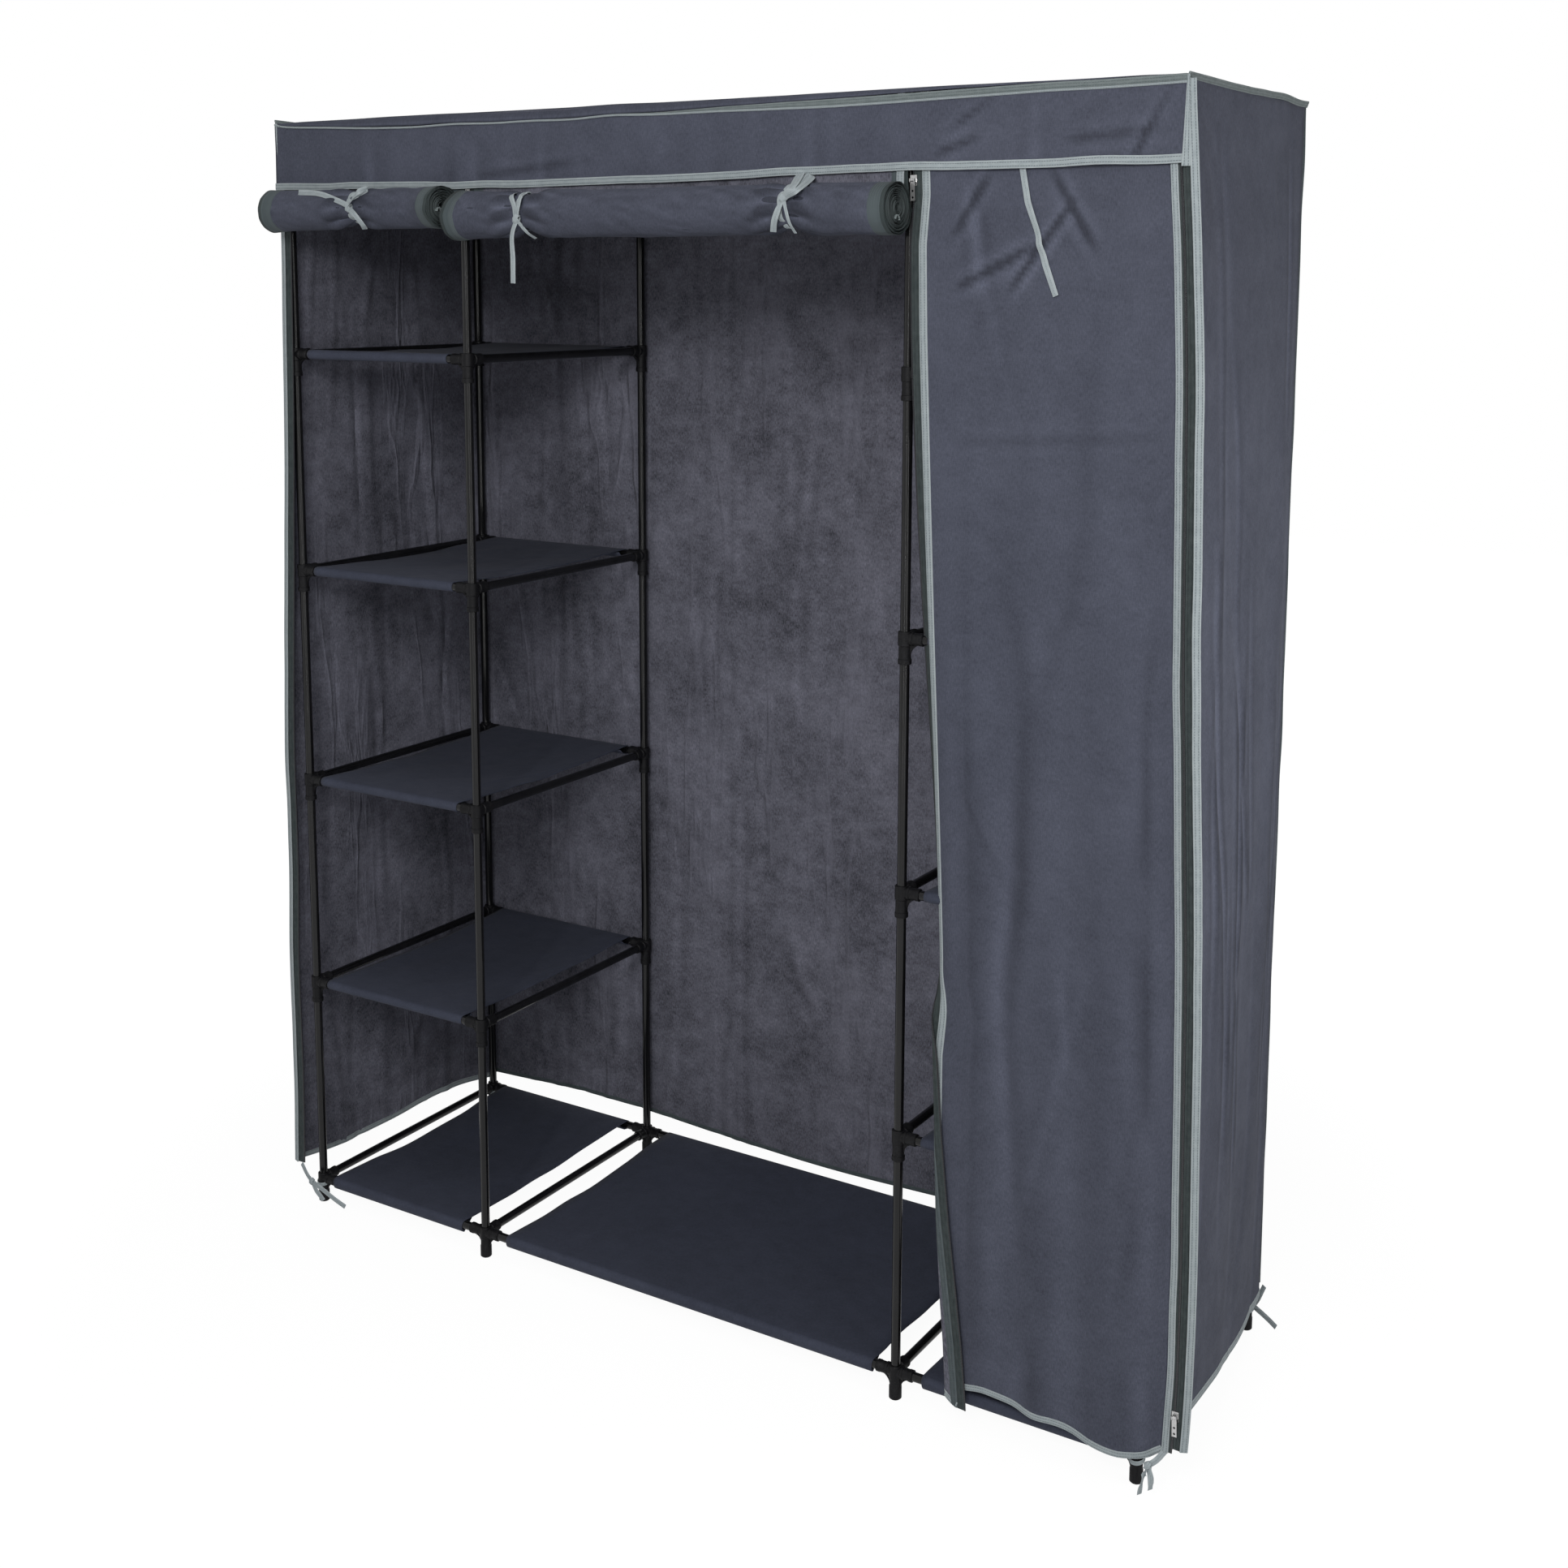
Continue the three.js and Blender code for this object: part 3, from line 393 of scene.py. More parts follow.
# felted nonwoven cloth: fibre flecks at a millimetre, cloudy patches at a hand's width
nonwoven, given, result = startGroup(
    "nonwovenCloth",
    [("Vector", vector, None), ("Colour", colour, (0.1, 0.1, 0.1, 1)), ("Fleck", number, 0.2),
     ("Cloud", number, 0.2), ("Emboss", number, 0.3)],
    [("Colour", colour), ("Roughness", number), ("Height", number)])
fibres = noiseAt(nonwoven, given["Vector"], 240, 5, 0.75)
threads = noiseAt(nonwoven, stretched(nonwoven, given["Vector"], 900, 160, 400), 1, 2)
clouds = noiseAt(nonwoven, given["Vector"], 38, 5, 0.68)
patches = noiseAt(nonwoven, given["Vector"], 7, 3, 0.5)
dots = putNode(nonwoven, "ShaderNodeTexVoronoi", {"Vector": given["Vector"], "Scale": 620,
                                                  "Randomness": 0.25})
fleckShade = remap(nonwoven, calculate(nonwoven, "ADD", fibres, threads), 0.6, 1.4, -1, 1)
cloudShade = remap(nonwoven, calculate(nonwoven, "ADD", clouds, patches), 0.7, 1.3, -1, 1)
shade = calculate(nonwoven, "ADD", 1,
                  calculate(nonwoven, "ADD", calculate(nonwoven, "MULTIPLY", fleckShade, given["Fleck"]),
                            calculate(nonwoven, "MULTIPLY", cloudShade, given["Cloud"])))
tint = putNode(nonwoven, "ShaderNodeCombineColor", {0: shade, 1: shade, 2: shade}).outputs[0]
nonwoven.links.new(mixColours(nonwoven, 1.0, given["Colour"], tint, "MULTIPLY"), result["Colour"])
nonwoven.links.new(remap(nonwoven, cloudShade, -1, 1, 0.86, 0.72), result["Roughness"])
bumps = calculate(nonwoven, "MULTIPLY", dots.outputs["Distance"], given["Emboss"])
nonwoven.links.new(calculate(nonwoven, "ADD", bumps, fibres), result["Height"])

# fold marks of packed cloth: soft waves and thin ridges that run mostly one way, as a height, and a mask of
# the ridges, on which the cloth's material paints a highlight
creased, given, result = startGroup(
    "foldMarks",
    [("Vector", vector, None), ("Across", number, 26.0), ("Along", number, 3.0), ("Sharp", number, 0.5)],
    [("Height", number), ("Mask", number)])
crossing = putNode(creased, "ShaderNodeCombineXYZ", {0: given["Across"], 1: given["Along"], 2: 1.0})
scaled = putNode(creased, "ShaderNodeVectorMath", {0: given["Vector"], 1: crossing.outputs[0]},
                 operation="MULTIPLY").outputs[0]
bend = putNode(creased, "ShaderNodeTexNoise", {"Vector": scaled, "Scale": 0.6, "Detail": 2.0})
shifted = putNode(creased, "ShaderNodeVectorMath", {0: scaled, 1: bend.outputs["Color"]},
                  operation="ADD").outputs[0]
waves = noiseAt(creased, shifted, 1.0, 3, 0.5)
ridge = calculate(creased, "ABSOLUTE", calculate(creased, "SUBTRACT", waves, 0.5))
line = remap(creased, ridge, 0.0, 0.07, 1, 0)
where = remap(creased, noiseAt(creased, scaled, 0.35, 1), 0.45, 0.62, 0, 1)
mask = calculate(creased, "MULTIPLY", line, where)
creased.links.new(mask, result["Mask"])
soft = calculate(creased, "MULTIPLY", waves, 0.6)
creased.links.new(calculate(creased, "ADD", soft,
                            calculate(creased, "MULTIPLY", mask, given["Sharp"])), result["Height"])

# woven tape: ribs across its length; v runs across the tape from 0 to 1, u along it in metres
ribbed, given, result = startGroup(
    "tapeRibs", [("Vector", vector, None), ("Pitch", number, 0.001), ("Edge", number, 0.1)],
    [("Height", number), ("Edge mask", number)])
split = putNode(ribbed, "ShaderNodeSeparateXYZ", {0: given["Vector"]}).outputs
turns = calculate(ribbed, "MULTIPLY", calculate(ribbed, "DIVIDE", split[0], given["Pitch"]), 2 * math.pi)
ribs = calculate(ribbed, "MULTIPLY", calculate(ribbed, "SINE", turns), 0.5)
ribbed.links.new(ribs, result["Height"])
fromMiddle = calculate(ribbed, "ABSOLUTE", calculate(ribbed, "SUBTRACT", split[1], 0.5))
edge = calculate(ribbed, "GREATER_THAN", fromMiddle, calculate(ribbed, "SUBTRACT", 0.5, given["Edge"]))
ribbed.links.new(edge, result["Edge mask"])

# two rows of stitches: dashes along u, on the lines v = offset and v = 1 - offset
sewn, given, result = startGroup(
    "stitchRows",
    [("Vector", vector, None), ("Offset", number, 0.2), ("Stitch", number, 0.0035), ("Width", number, 0.05)],
    [("Mask", number), ("Height", number)])
split = putNode(sewn, "ShaderNodeSeparateXYZ", {0: given["Vector"]}).outputs
fromMiddle = calculate(sewn, "ABSOLUTE", calculate(sewn, "SUBTRACT", split[1], 0.5))
fromRow = calculate(sewn, "ABSOLUTE", calculate(
    sewn, "SUBTRACT", fromMiddle, calculate(sewn, "SUBTRACT", 0.5, given["Offset"])))
onRow = remap(sewn, fromRow, 0.0, given["Width"], 1, 0)
phase = calculate(sewn, "FRACT", calculate(sewn, "DIVIDE", split[0], given["Stitch"]))
dash = remap(sewn, calculate(sewn, "ABSOLUTE", calculate(sewn, "SUBTRACT", phase, 0.5)), 0.3, 0.42, 1, 0)
stitch = calculate(sewn, "MULTIPLY", onRow, dash)
sewn.links.new(stitch, result["Mask"])
groove = calculate(sewn, "MULTIPLY", onRow, -0.6)
sewn.links.new(calculate(sewn, "ADD", groove, stitch), result["Height"])

# handling: faint smears and dust that dull a hard surface
handled, given, result = startGroup(
    "handlingMarks",
    [("Vector", vector, None), ("Colour", colour, (0.02, 0.02, 0.02, 1)),
     ("Dust", colour, (0.2, 0.2, 0.2, 1)), ("Amount", number, 0.1), ("Smooth", number, 0.2),
     ("Dull", number, 0.4)],
    [("Colour", colour), ("Roughness", number), ("Height", number)])
smears = noiseAt(handled, stretched(handled, given["Vector"], 30, 30, 9), 1, 5, 0.65)
specks = noiseAt(handled, given["Vector"], 340, 3, 0.6)
dusty = calculate(handled, "MULTIPLY", remap(handled, calculate(
    handled, "MULTIPLY", smears, specks), 0.22, 0.42, 0, 1), given["Amount"])
handled.links.new(mixColours(handled, dusty, given["Colour"], given["Dust"]), result["Colour"])
handled.links.new(remap(handled, smears, 0.3, 0.7, given["Smooth"], given["Dull"]), result["Roughness"])
handled.links.new(calculate(handled, "MULTIPLY", specks, 0.5), result["Height"])


def newMaterial(name, sheen=0.0, coat=0.0, specular=0.5):
    material = bpy.data.materials.new(name)
    material.use_nodes = True
    tree = material.node_tree
    shader = tree.nodes["Principled BSDF"]
    shader.inputs["Sheen Weight"].default_value = sheen
    shader.inputs["Sheen Roughness"].default_value = 0.5
    shader.inputs["Coat Weight"].default_value = coat
    shader.inputs["Coat Roughness"].default_value = 0.08
    shader.inputs["Specular IOR Level"].default_value = specular
    return material, tree, shader


def placeIn(group, tree, values):
    return putNode(tree, "ShaderNodeGroup", values, node_tree=group).outputs


def bumpFrom(tree, height, distance, strength=1.0, normal=None):
    values = {"Height": height, "Distance": distance, "Strength": strength}
    if normal is not None:
        values["Normal"] = normal
    return putNode(tree, "ShaderNodeBump", values).outputs[0]


def clothMaterial(name, look):
    material, tree, shader = newMaterial(name, sheen=look["sheen"], specular=look["gloss"])
    place = putNode(tree, "ShaderNodeUVMap", uv_map="weave").outputs[0]
    cloth = placeIn(nonwoven, tree, {
        "Vector": place, "Colour": (*look["colour"], 1), "Fleck": look["fleck"],
        "Cloud": look["cloud"], "Emboss": look["emboss"]})
    marks = placeIn(creased, tree, {"Vector": place, "Across": look["foldAcross"],
                                    "Along": look["foldAlong"], "Sharp": look["foldSharp"]})
    # painted highlight: a paler colour is mixed in along the fold marks' ridges
    foldHighlightColour = [min(1, channel * look["foldHighlight"]) for channel in look["colour"]]
    fadedAndHighlight = calculate(tree, "MULTIPLY", marks["Mask"], look["foldShare"])
    # painted shade and light: dents of the cloth are painted darker and ridges lighter, by a share of the
    # relief
    relief = putNode(tree, "ShaderNodeAttribute", attribute_name="relief").outputs["Fac"]
    shade = calculate(tree, "MULTIPLY_ADD", relief, look["relief"], 1.0)
    shade = putNode(tree, "ShaderNodeCombineColor", {0: shade, 1: shade, 2: shade}).outputs[0]
    tinted = mixColours(tree, fadedAndHighlight, cloth["Colour"], (*foldHighlightColour, 1))
    tree.links.new(mixColours(tree, 1.0, tinted, shade, "MULTIPLY"), shader.inputs["Base Color"])
    tree.links.new(cloth["Roughness"], shader.inputs["Roughness"])
    folds = bumpFrom(tree, marks["Height"], look["foldDepth"])
    tree.links.new(bumpFrom(tree, cloth["Height"], look["fleckDepth"], 0.8, folds), shader.inputs["Normal"])
    return material


# relief: how much the dents are painted darker as shade and the ridges lighter as light; the felt's share is
# negative, as its dents are the outside's ridges
coverCloth = clothMaterial("coverCloth", {
    "colour": (0.072, 0.078, 0.106), "sheen": 0.02, "gloss": 0.12, "fleck": 0.30, "cloud": 0.13,
    "emboss": 0.5, "foldAcross": 9, "foldAlong": 5, "foldSharp": 0.4, "foldHighlight": 1.25,
    "foldShare": 0.25, "foldDepth": 0.003, "fleckDepth": 0.00025, "relief": 0.42})
feltInside = clothMaterial("feltInside", {
    "colour": (0.125, 0.126, 0.157), "sheen": 0.04, "gloss": 0.1, "fleck": 0.62, "cloud": 0.42,
    "emboss": 0.2, "foldAcross": 20, "foldAlong": 3.5, "foldSharp": 0.7, "foldHighlight": 1.6,
    "foldShare": 0.35, "foldDepth": 0.0035, "fleckDepth": 0.0004, "relief": -0.13})
shelfCloth = clothMaterial("shelfCloth", {
    "colour": (0.047, 0.053, 0.078), "sheen": 0.03, "gloss": 0.18, "fleck": 0.22, "cloud": 0.12,
    "emboss": 0.8, "foldAcross": 7, "foldAlong": 4, "foldSharp": 0.3, "foldHighlight": 1.3,
    "foldShare": 0.2, "foldDepth": 0.002, "fleckDepth": 0.0003, "relief": 0.2})


def tapeMaterial(name, look):
    material, tree, shader = newMaterial(name, sheen=look["sheen"], specular=0.3)
    place = putNode(tree, "ShaderNodeUVMap", uv_map="weave").outputs[0]
    ribs = placeIn(ribbed, tree, {"Vector": place, "Pitch": look["rib"], "Edge": 0.09})
    stitches = placeIn(sewn, tree, {"Vector": place, "Offset": look["row"], "Stitch": look["stitch"],
                                    "Width": look["thread"]})
    worn = noiseAt(tree, stretched(tree, place, 90, 2, 1), 1, 4)
    base = mixColours(tree, remap(tree, worn, 0.3, 0.7, 0, 1), (*look["colour"], 1), (*look["fadedAndHighlight"], 1))
    edged = mixColours(tree, calculate(tree, "MULTIPLY", ribs["Edge mask"], 0.5), base, (*look["edge"], 1))
    tree.links.new(mixColours(tree, stitches["Mask"], edged, (*look["threadColour"], 1)),
                   shader.inputs["Base Color"])
    tree.links.new(remap(tree, worn, 0.3, 0.7, 0.88, 0.7), shader.inputs["Roughness"])
    weave = bumpFrom(tree, ribs["Height"], 0.00012)
    tree.links.new(bumpFrom(tree, stitches["Height"], 0.0005, 1.0, weave), shader.inputs["Normal"])
    return material


sewnLook = {"sheen": 0.05, "rib": 0.0011, "row": 0.3, "stitch": 0.0034, "thread": 0.06}
bindingTape = tapeMaterial("bindingTape", {
    **sewnLook, "row": 0.27, "thread": 0.07, "threadColour": (0.11, 0.13, 0.14),
    "colour": (0.285, 0.328, 0.345), "fadedAndHighlight": (0.360, 0.405, 0.420), "edge": (0.42, 0.46, 0.47)})
# painted shade: the next two are the binding tape in darker tones, one in half shade for the roof's seams and
# the roll's core, one in deep shade for the back's bindings, the back of the flap's turned-over edge and the
# rolls' ends
halfShadeBinding = tapeMaterial("halfShadeBinding", {
    **sewnLook, "threadColour": (0.08, 0.10, 0.10),
    "colour": (0.140, 0.168, 0.170), "fadedAndHighlight": (0.185, 0.215, 0.218), "edge": (0.21, 0.24, 0.24)})
deepShadeBinding = tapeMaterial("deepShadeBinding", {
    **sewnLook, "threadColour": (0.04, 0.05, 0.055),
    "colour": (0.060, 0.078, 0.084), "fadedAndHighlight": (0.085, 0.105, 0.112), "edge": (0.11, 0.13, 0.14)})
tieRibbon = tapeMaterial("tieRibbon", {
    **sewnLook, "rib": 0.0009, "row": 0.5, "thread": 0.05, "threadColour": (0.20, 0.23, 0.24),
    "colour": (0.310, 0.355, 0.375), "fadedAndHighlight": (0.385, 0.430, 0.445), "edge": (0.43, 0.47, 0.48)})
zipTape = tapeMaterial("zipTape", {
    **sewnLook, "sheen": 0.03, "rib": 0.0012, "stitch": 0.0028, "thread": 0.05,
    "threadColour": (0.014, 0.017, 0.018), "colour": (0.026, 0.036, 0.037),
    "fadedAndHighlight": (0.044, 0.056, 0.057), "edge": (0.055, 0.066, 0.067)})

zipChain, tree, shader = newMaterial("zipChain", specular=0.5)
place = putNode(tree, "ShaderNodeUVMap", uv_map="weave").outputs[0]
teeth = placeIn(ribbed, tree, {"Vector": place, "Pitch": 0.0016, "Edge": 0.2})
# painted highlight and shade: the teeth's crests are painted lighter and the gaps between them darker
toothHighlightShare = remap(tree, teeth["Height"], -0.3, 0.3, 0, 1)
toothHighlightColour = mixColours(tree, toothHighlightShare, (0.006, 0.006, 0.008, 1), (0.034, 0.036, 0.042, 1))
tree.links.new(toothHighlightColour, shader.inputs["Base Color"])
tree.links.new(bumpFrom(tree, teeth["Height"], 0.0007), shader.inputs["Normal"])
shader.inputs["Roughness"].default_value = 0.38


def hardMaterial(name, look):
    material, tree, shader = newMaterial(name, coat=look["coat"], specular=look["gloss"])
    place = putNode(tree, "ShaderNodeTexCoord").outputs["Object"]
    marks = placeIn(handled, tree, {
        "Vector": place, "Colour": (*look["colour"], 1), "Dust": (*look["dust"], 1),
        "Amount": look["amount"], "Smooth": look["smooth"], "Dull": look["dull"]})
    tree.links.new(marks["Colour"], shader.inputs["Base Color"])
    tree.links.new(marks["Roughness"], shader.inputs["Roughness"])
    tree.links.new(bumpFrom(tree, marks["Height"], look["depth"]), shader.inputs["Normal"])
    shader.inputs["Metallic"].default_value = look["metal"]
    return material


frameSteel = hardMaterial("frameSteel", {
    "colour": (0.0045, 0.0045, 0.005), "dust": (0.035, 0.035, 0.038), "amount": 0.2, "smooth": 0.13,
    "dull": 0.26, "depth": 0.00003, "metal": 0.0, "coat": 0.30, "gloss": 0.20})
connectorPlastic = hardMaterial("connectorPlastic", {
    "colour": (0.006, 0.006, 0.007), "dust": (0.04, 0.04, 0.044), "amount": 0.25, "smooth": 0.40,
    "dull": 0.60, "depth": 0.00015, "metal": 0.0, "coat": 0.0, "gloss": 0.16})
zipNickel = hardMaterial("zipNickel", {
    "colour": (0.60, 0.60, 0.60), "dust": (0.25, 0.24, 0.23), "amount": 0.3, "smooth": 0.18,
    "dull": 0.36, "depth": 0.00005, "metal": 1.0, "coat": 0.0, "gloss": 0.5})
print("materials made:", len(bpy.data.materials))


# frame: tubes and moulded connectors

# a tube starts this far from a post's axis, and ends this far inside a foot, a cap or a socket
tube = {"radius": 0.0065, "rim": 0.0007, "start": 0.0125, "footGap": 0.001, "capGap": 0.002, "railGap": 0.001}
# radii of the round stretches, then where each begins and ends along its axis
connector = {
    "hub": hubRise, "sleeve": 0.0081, "collar": 0.0090, "socket": 0.0080, "mouth": 0.0085, "foot": 0.0088,
    "ring": (0.0095, 0.0105, 0.0130, 0.0138), "mouthFrom": (0.0215, 0.0225), "reach": 0.028, "lip": 0.0008,
    "hubTo": (0.0184, 0.0196), "collarFrom": (0.036, 0.0366), "footFrom": (0.030, 0.031),
    "sleeveDrop": 0.034, "rim": {"foot": 0.001, "cap": 0.0025, "shelf": 0.0006}, "footRim": 0.0015,
    "endRim": 0.0006, "edgeRim": 0.0005, "teeHalf": 0.018,
    "web": 0.0012, "webDrop": 0.024, "webTop": 0.004, "webBack": 0.003, "webOverlap": 0.001,
}


def rod(start, end, slot=0):
    # a round tube from start to end, with its end edges bevelled by the rim
    start, end = np.array(start, float), np.array(end, float)
    length, r, e = np.linalg.norm(end - start), tube["radius"], tube["rim"]
    profile = [(0, 0), (0, r - e), (e, r), (length / 2, r), (length - e, r), (length, r - e), (length, 0)]
    return turned(start, end - start, profile, slot)


def socket(centre, direction, slot=1):
    # a neck at the hub, a stop ring, the barrel, and a wider mouth with a rounded lip
    c = connector
    rise, full, fall, gone = c["ring"]
    widens, wide = c["mouthFrom"]
    profile = [(0, 0), (0, c["socket"]), (rise, c["socket"]), (full, c["collar"]),
               (fall, c["collar"]), (gone, c["socket"]), (widens, c["socket"]),
               (wide, c["mouth"]), (c["reach"] - c["lip"], c["mouth"]),
               (c["reach"], c["mouth"] - c["lip"]), (c["reach"], 0)]
    return turned(centre, direction, profile, slot)


def web(centre, direction, slot=1):
    # a thin plate under the arm: its free edge is the quarter of a hollow curve from arm to sleeve
    c, direction = connector, unit(direction)
    t = np.linspace(0, np.pi / 2, 9)
    end = c["reach"] - c["webBack"]
    out = end - (end - c["sleeve"]) * np.sin(t)
    down = c["webDrop"] - (c["webDrop"] - c["socket"] + c["webOverlap"]) * np.cos(t)
    edge = centre + direction * out[:, None] + np.array([0, 0, -1.0]) * down[:, None]
    inner = np.broadcast_to(centre - np.array([0, 0, c["webTop"]]), edge.shape)
    thick = np.cross(direction, [0, 0, 1]) * c["web"]
    grid = np.stack([inner - thick, edge - thick, edge + thick, inner + thick], 1)
    return {"grid": closeEnds(grid), "closed": (False, True), "slot": slot}


def connectorParts(x, y, z, arms, kind):
    # the hub above its sleeve, which ends in a collar, or at the floor in a closed foot
    c = connector
    centre = np.array([x, y, z])
    rim, (hubEnd, neck) = c["rim"][kind], c["hubTo"]
    profile = [(0, 0), (0, c["hub"] - rim), (rim, c["hub"]), (hubEnd, c["hub"]), (neck, c["sleeve"])]
    if kind == "foot":
        (narrow, wide), radius, end = c["footFrom"], c["foot"], z + c["hub"]
        corners = (c["footRim"], c["footRim"])
    else:
        (narrow, wide), radius, end = c["collarFrom"], c["collar"], c["hub"] + c["sleeveDrop"]
        corners = (c["edgeRim"], c["endRim"])
    profile += [(narrow, c["sleeve"]), (wide, radius), (end - corners[0], radius),
                (end, radius - corners[1]), (end, 0)]
    parts = [turned(centre + [0, 0, c["hub"]], (0, 0, -1), profile, 1)]
    for arm in arms:
        parts += [socket(centre, arm), web(centre, arm)]
    return parts


def buildRing(label, level):
    # two cross rails and two depth tubes between four connectors, the inner ones with a third arm
    # towards the middle bay at the base and at the top
    left, right = (postX[0], postX[1]) if label == "left" else (postX[2], postX[3])
    z, s = levels[level], tube["start"]
    parts = [rod((left + s, y, z), (right - s, y, z)) for y in (-postY, postY)]
    parts += [rod((x, -postY + s, z), (x, postY - s, z)) for x in (left, right)]
    kind = "foot" if level == 0 else "cap" if level == 5 else "shelf"
    for x, inward in ((left, 1), (right, -1)):
        for y, toMiddle in ((-postY, 1), (postY, -1)):
            arms = [(inward, 0, 0), (0, toMiddle, 0)]
            if level in (0, 5) and x in (postX[1], postX[2]):
                arms.append((-inward, 0, 0))
            parts += connectorParts(x, y, z, arms, kind)
    if level == 5:  # the tee on the inner depth tube holds the hanging rail
        x, outward = (postX[1], 1) if label == "left" else (postX[2], -1)
        y = middleOf("hanging_rail")[1] - middle[1]
        r, half, rim = connector["socket"], connector["teeHalf"], connector["endRim"]
        collar = [(-half, 0), (-half, r - rim), (rim - half, r), (half - rim, r), (half, r - rim), (half, 0)]
        parts += [turned((x, y, z), (0, 1, 0), collar, 1), socket(np.array([x, y, z]), (outward, 0, 0))]
    name = f"{label}_{ringNames[level]}"
    return buildPiece(name + "_tubes", parts, [frameSteel, connectorPlastic], replaces=[name])


for label in ("left", "right"):
    for level in range(6):
        buildRing(label, level)
for row, y in (("front", -postY), ("back", postY)):
    for n, x in enumerate(postX, 1):
        low, high = cornersOf(f"{row}_post_{n}")
        post = rod((x, y, low[2] + tube["footGap"]), (x, y, high[2] - tube["capGap"]))
        buildPiece(f"{row}_post_{n}_tube", [post], [frameSteel], replaces=[f"{row}_post_{n}"])
for rail in ("middle_base_front_rail", "middle_base_back_rail", "middle_top_front_rail",
             "middle_top_back_rail", "hanging_rail"):
    low, high = cornersOf(rail) - middle
    y, z = (low[1] + high[1]) / 2, (low[2] + high[2]) / 2
    bar = rod((low[0] + tube["railGap"], y, z), (high[0] - tube["railGap"], y, z))
    buildPiece(rail + "_tube", [bar], [frameSteel], replaces=[rail])
print("frame built")


# shelves and base fabrics

shelf = {
    "sleeve": 0.0073, "turnUnder": 0.020, "turnDrop": 0.004, "sag": 0.005, "thickness": 0.0008,
    "overlap": 0.018, "flatFrom": 0.05, "ripple": 0.0018, "sink": 0.0015,
    "shelfEdge": {"wave": 0.0015, "hang": 0.0}, "baseEdge": {"wave": 0.003, "hang": 0.005},
}


def shelfSheet(low, high, z, seed, wave, hang):
    # the cloth's section: turned under, round the front rail, across with a sag that grows
    # as sin(pi v), and round the back rail; in front it hangs a little below its rail
    s, r = shelf, shelf["sleeve"]
    bend = np.linspace(-np.pi / 2, np.pi / 2, 9)
    front = np.stack([-postY - r * np.cos(bend), z + (r + hang * (bend < 0)) * np.sin(bend)], -1)
    back = np.stack([postY + r * np.cos(-bend), z + r * np.sin(-bend)], -1)
    v = np.linspace(0, 1, 26)[1:-1]
    across = np.stack([-postY + 2 * postY * v, z + r - s["sag"] * np.sin(np.pi * v)], -1)
    under = np.array([[-postY + s["turnUnder"], z + r - s["turnDrop"]],
                      [-postY + s["turnUnder"] / 2, z - r * 0.7]])
    underBack = np.stack([-under[::-1, 0], under[::-1, 1]], -1)
    section = np.concatenate([under, front, across, back, underBack])
    x = np.linspace(low, high, 40)
    along = runLength(section)
    xs, ss = np.meshgrid(x, along, indexing="ij")
    way = (ss - s["flatFrom"]) / (along[-1] - 2 * s["flatFrom"])
    flatShare = limited(np.sin(np.pi * limited(way)))
    lift = (s["ripple"] * smoothNoise(xs * 22, ss * 16, seed) - s["sink"]) * flatShare
    edge = wave * smoothNoise(np.sign(xs - (low + high) / 2) * 3, ss * 14, seed + 1)
    grid = np.empty(xs.shape + (3,))
    grid[..., 0] = xs + edge * np.abs(2 * (xs - low) / (high - low) - 1)**4
    grid[..., 1] = section[None, :, 0]
    grid[..., 2] = section[None, :, 1] + lift
    return {"grid": grid, "uv": np.stack([xs, ss], -1)}, (high - low, float(along[-1]))


def buildShelf(node, seed):
    low, high = cornersOf(node) - middle
    z = (low[2] + high[2]) / 2
    edge = shelf["baseEdge" if "base" in node else "shelfEdge"]
    wide = shelf["overlap"] if node == "middle_base_fabric" else 0  # reaches the connectors
    sheet, flat = shelfSheet(low[0] - wide, high[0], z, seed, edge["wave"], edge["hang"])
    piece = buildPiece(node + "_cloth", [sheet], [shelfCloth, shelfCloth], replaces=[node])
    thicken(piece, shelf["thickness"])


shelfNodes = [f"{side}_shelf_{n}" for side in ("left", "right") for n in (1, 2, 3, 4)]
shelfNodes += ["left_base_fabric", "right_base_fabric", "middle_base_fabric"]
for seed, node in enumerate(shelfNodes, 40):
    buildShelf(node, seed)
print("shelves built:", len(shelfNodes))


# panels of the cover

# the hem's mean height and its wave; the left side's hem falls towards the back
hem = {"height": 0.062, "wave": 0.008, "leftRise": 0.014, "leftDrop": 0.010}
# shares of the right side's depth from the front, and the hem's height there
rightHem = ((0, 0.06, 0.285, 0.52, 0.73, 0.92, 1), (0.116, 0.112, 0.092, 0.070, 0.0625, 0.055, 0.054))


def hemWave(t):
    # mean height + wave x sin(2 pi t)
    return hem["height"] + hem["wave"] * np.sin(2 * np.pi * t)


def backHem(u):
    # u runs from -1 at the left to 1 at the right, with one and a half waves on the way
    return hemWave(1.5 * (u + 1) / 2)


def sideHem(u, side):
    # u runs from 0 at the front to 1 at the back: the right side by its table, the left side by
    # one wave and a straight fall
    if side > 0:
        return np.interp(u, *rightHem)
    return hemWave(u + 0.5) + hem["leftRise"] * (1 - u) - hem["leftDrop"]


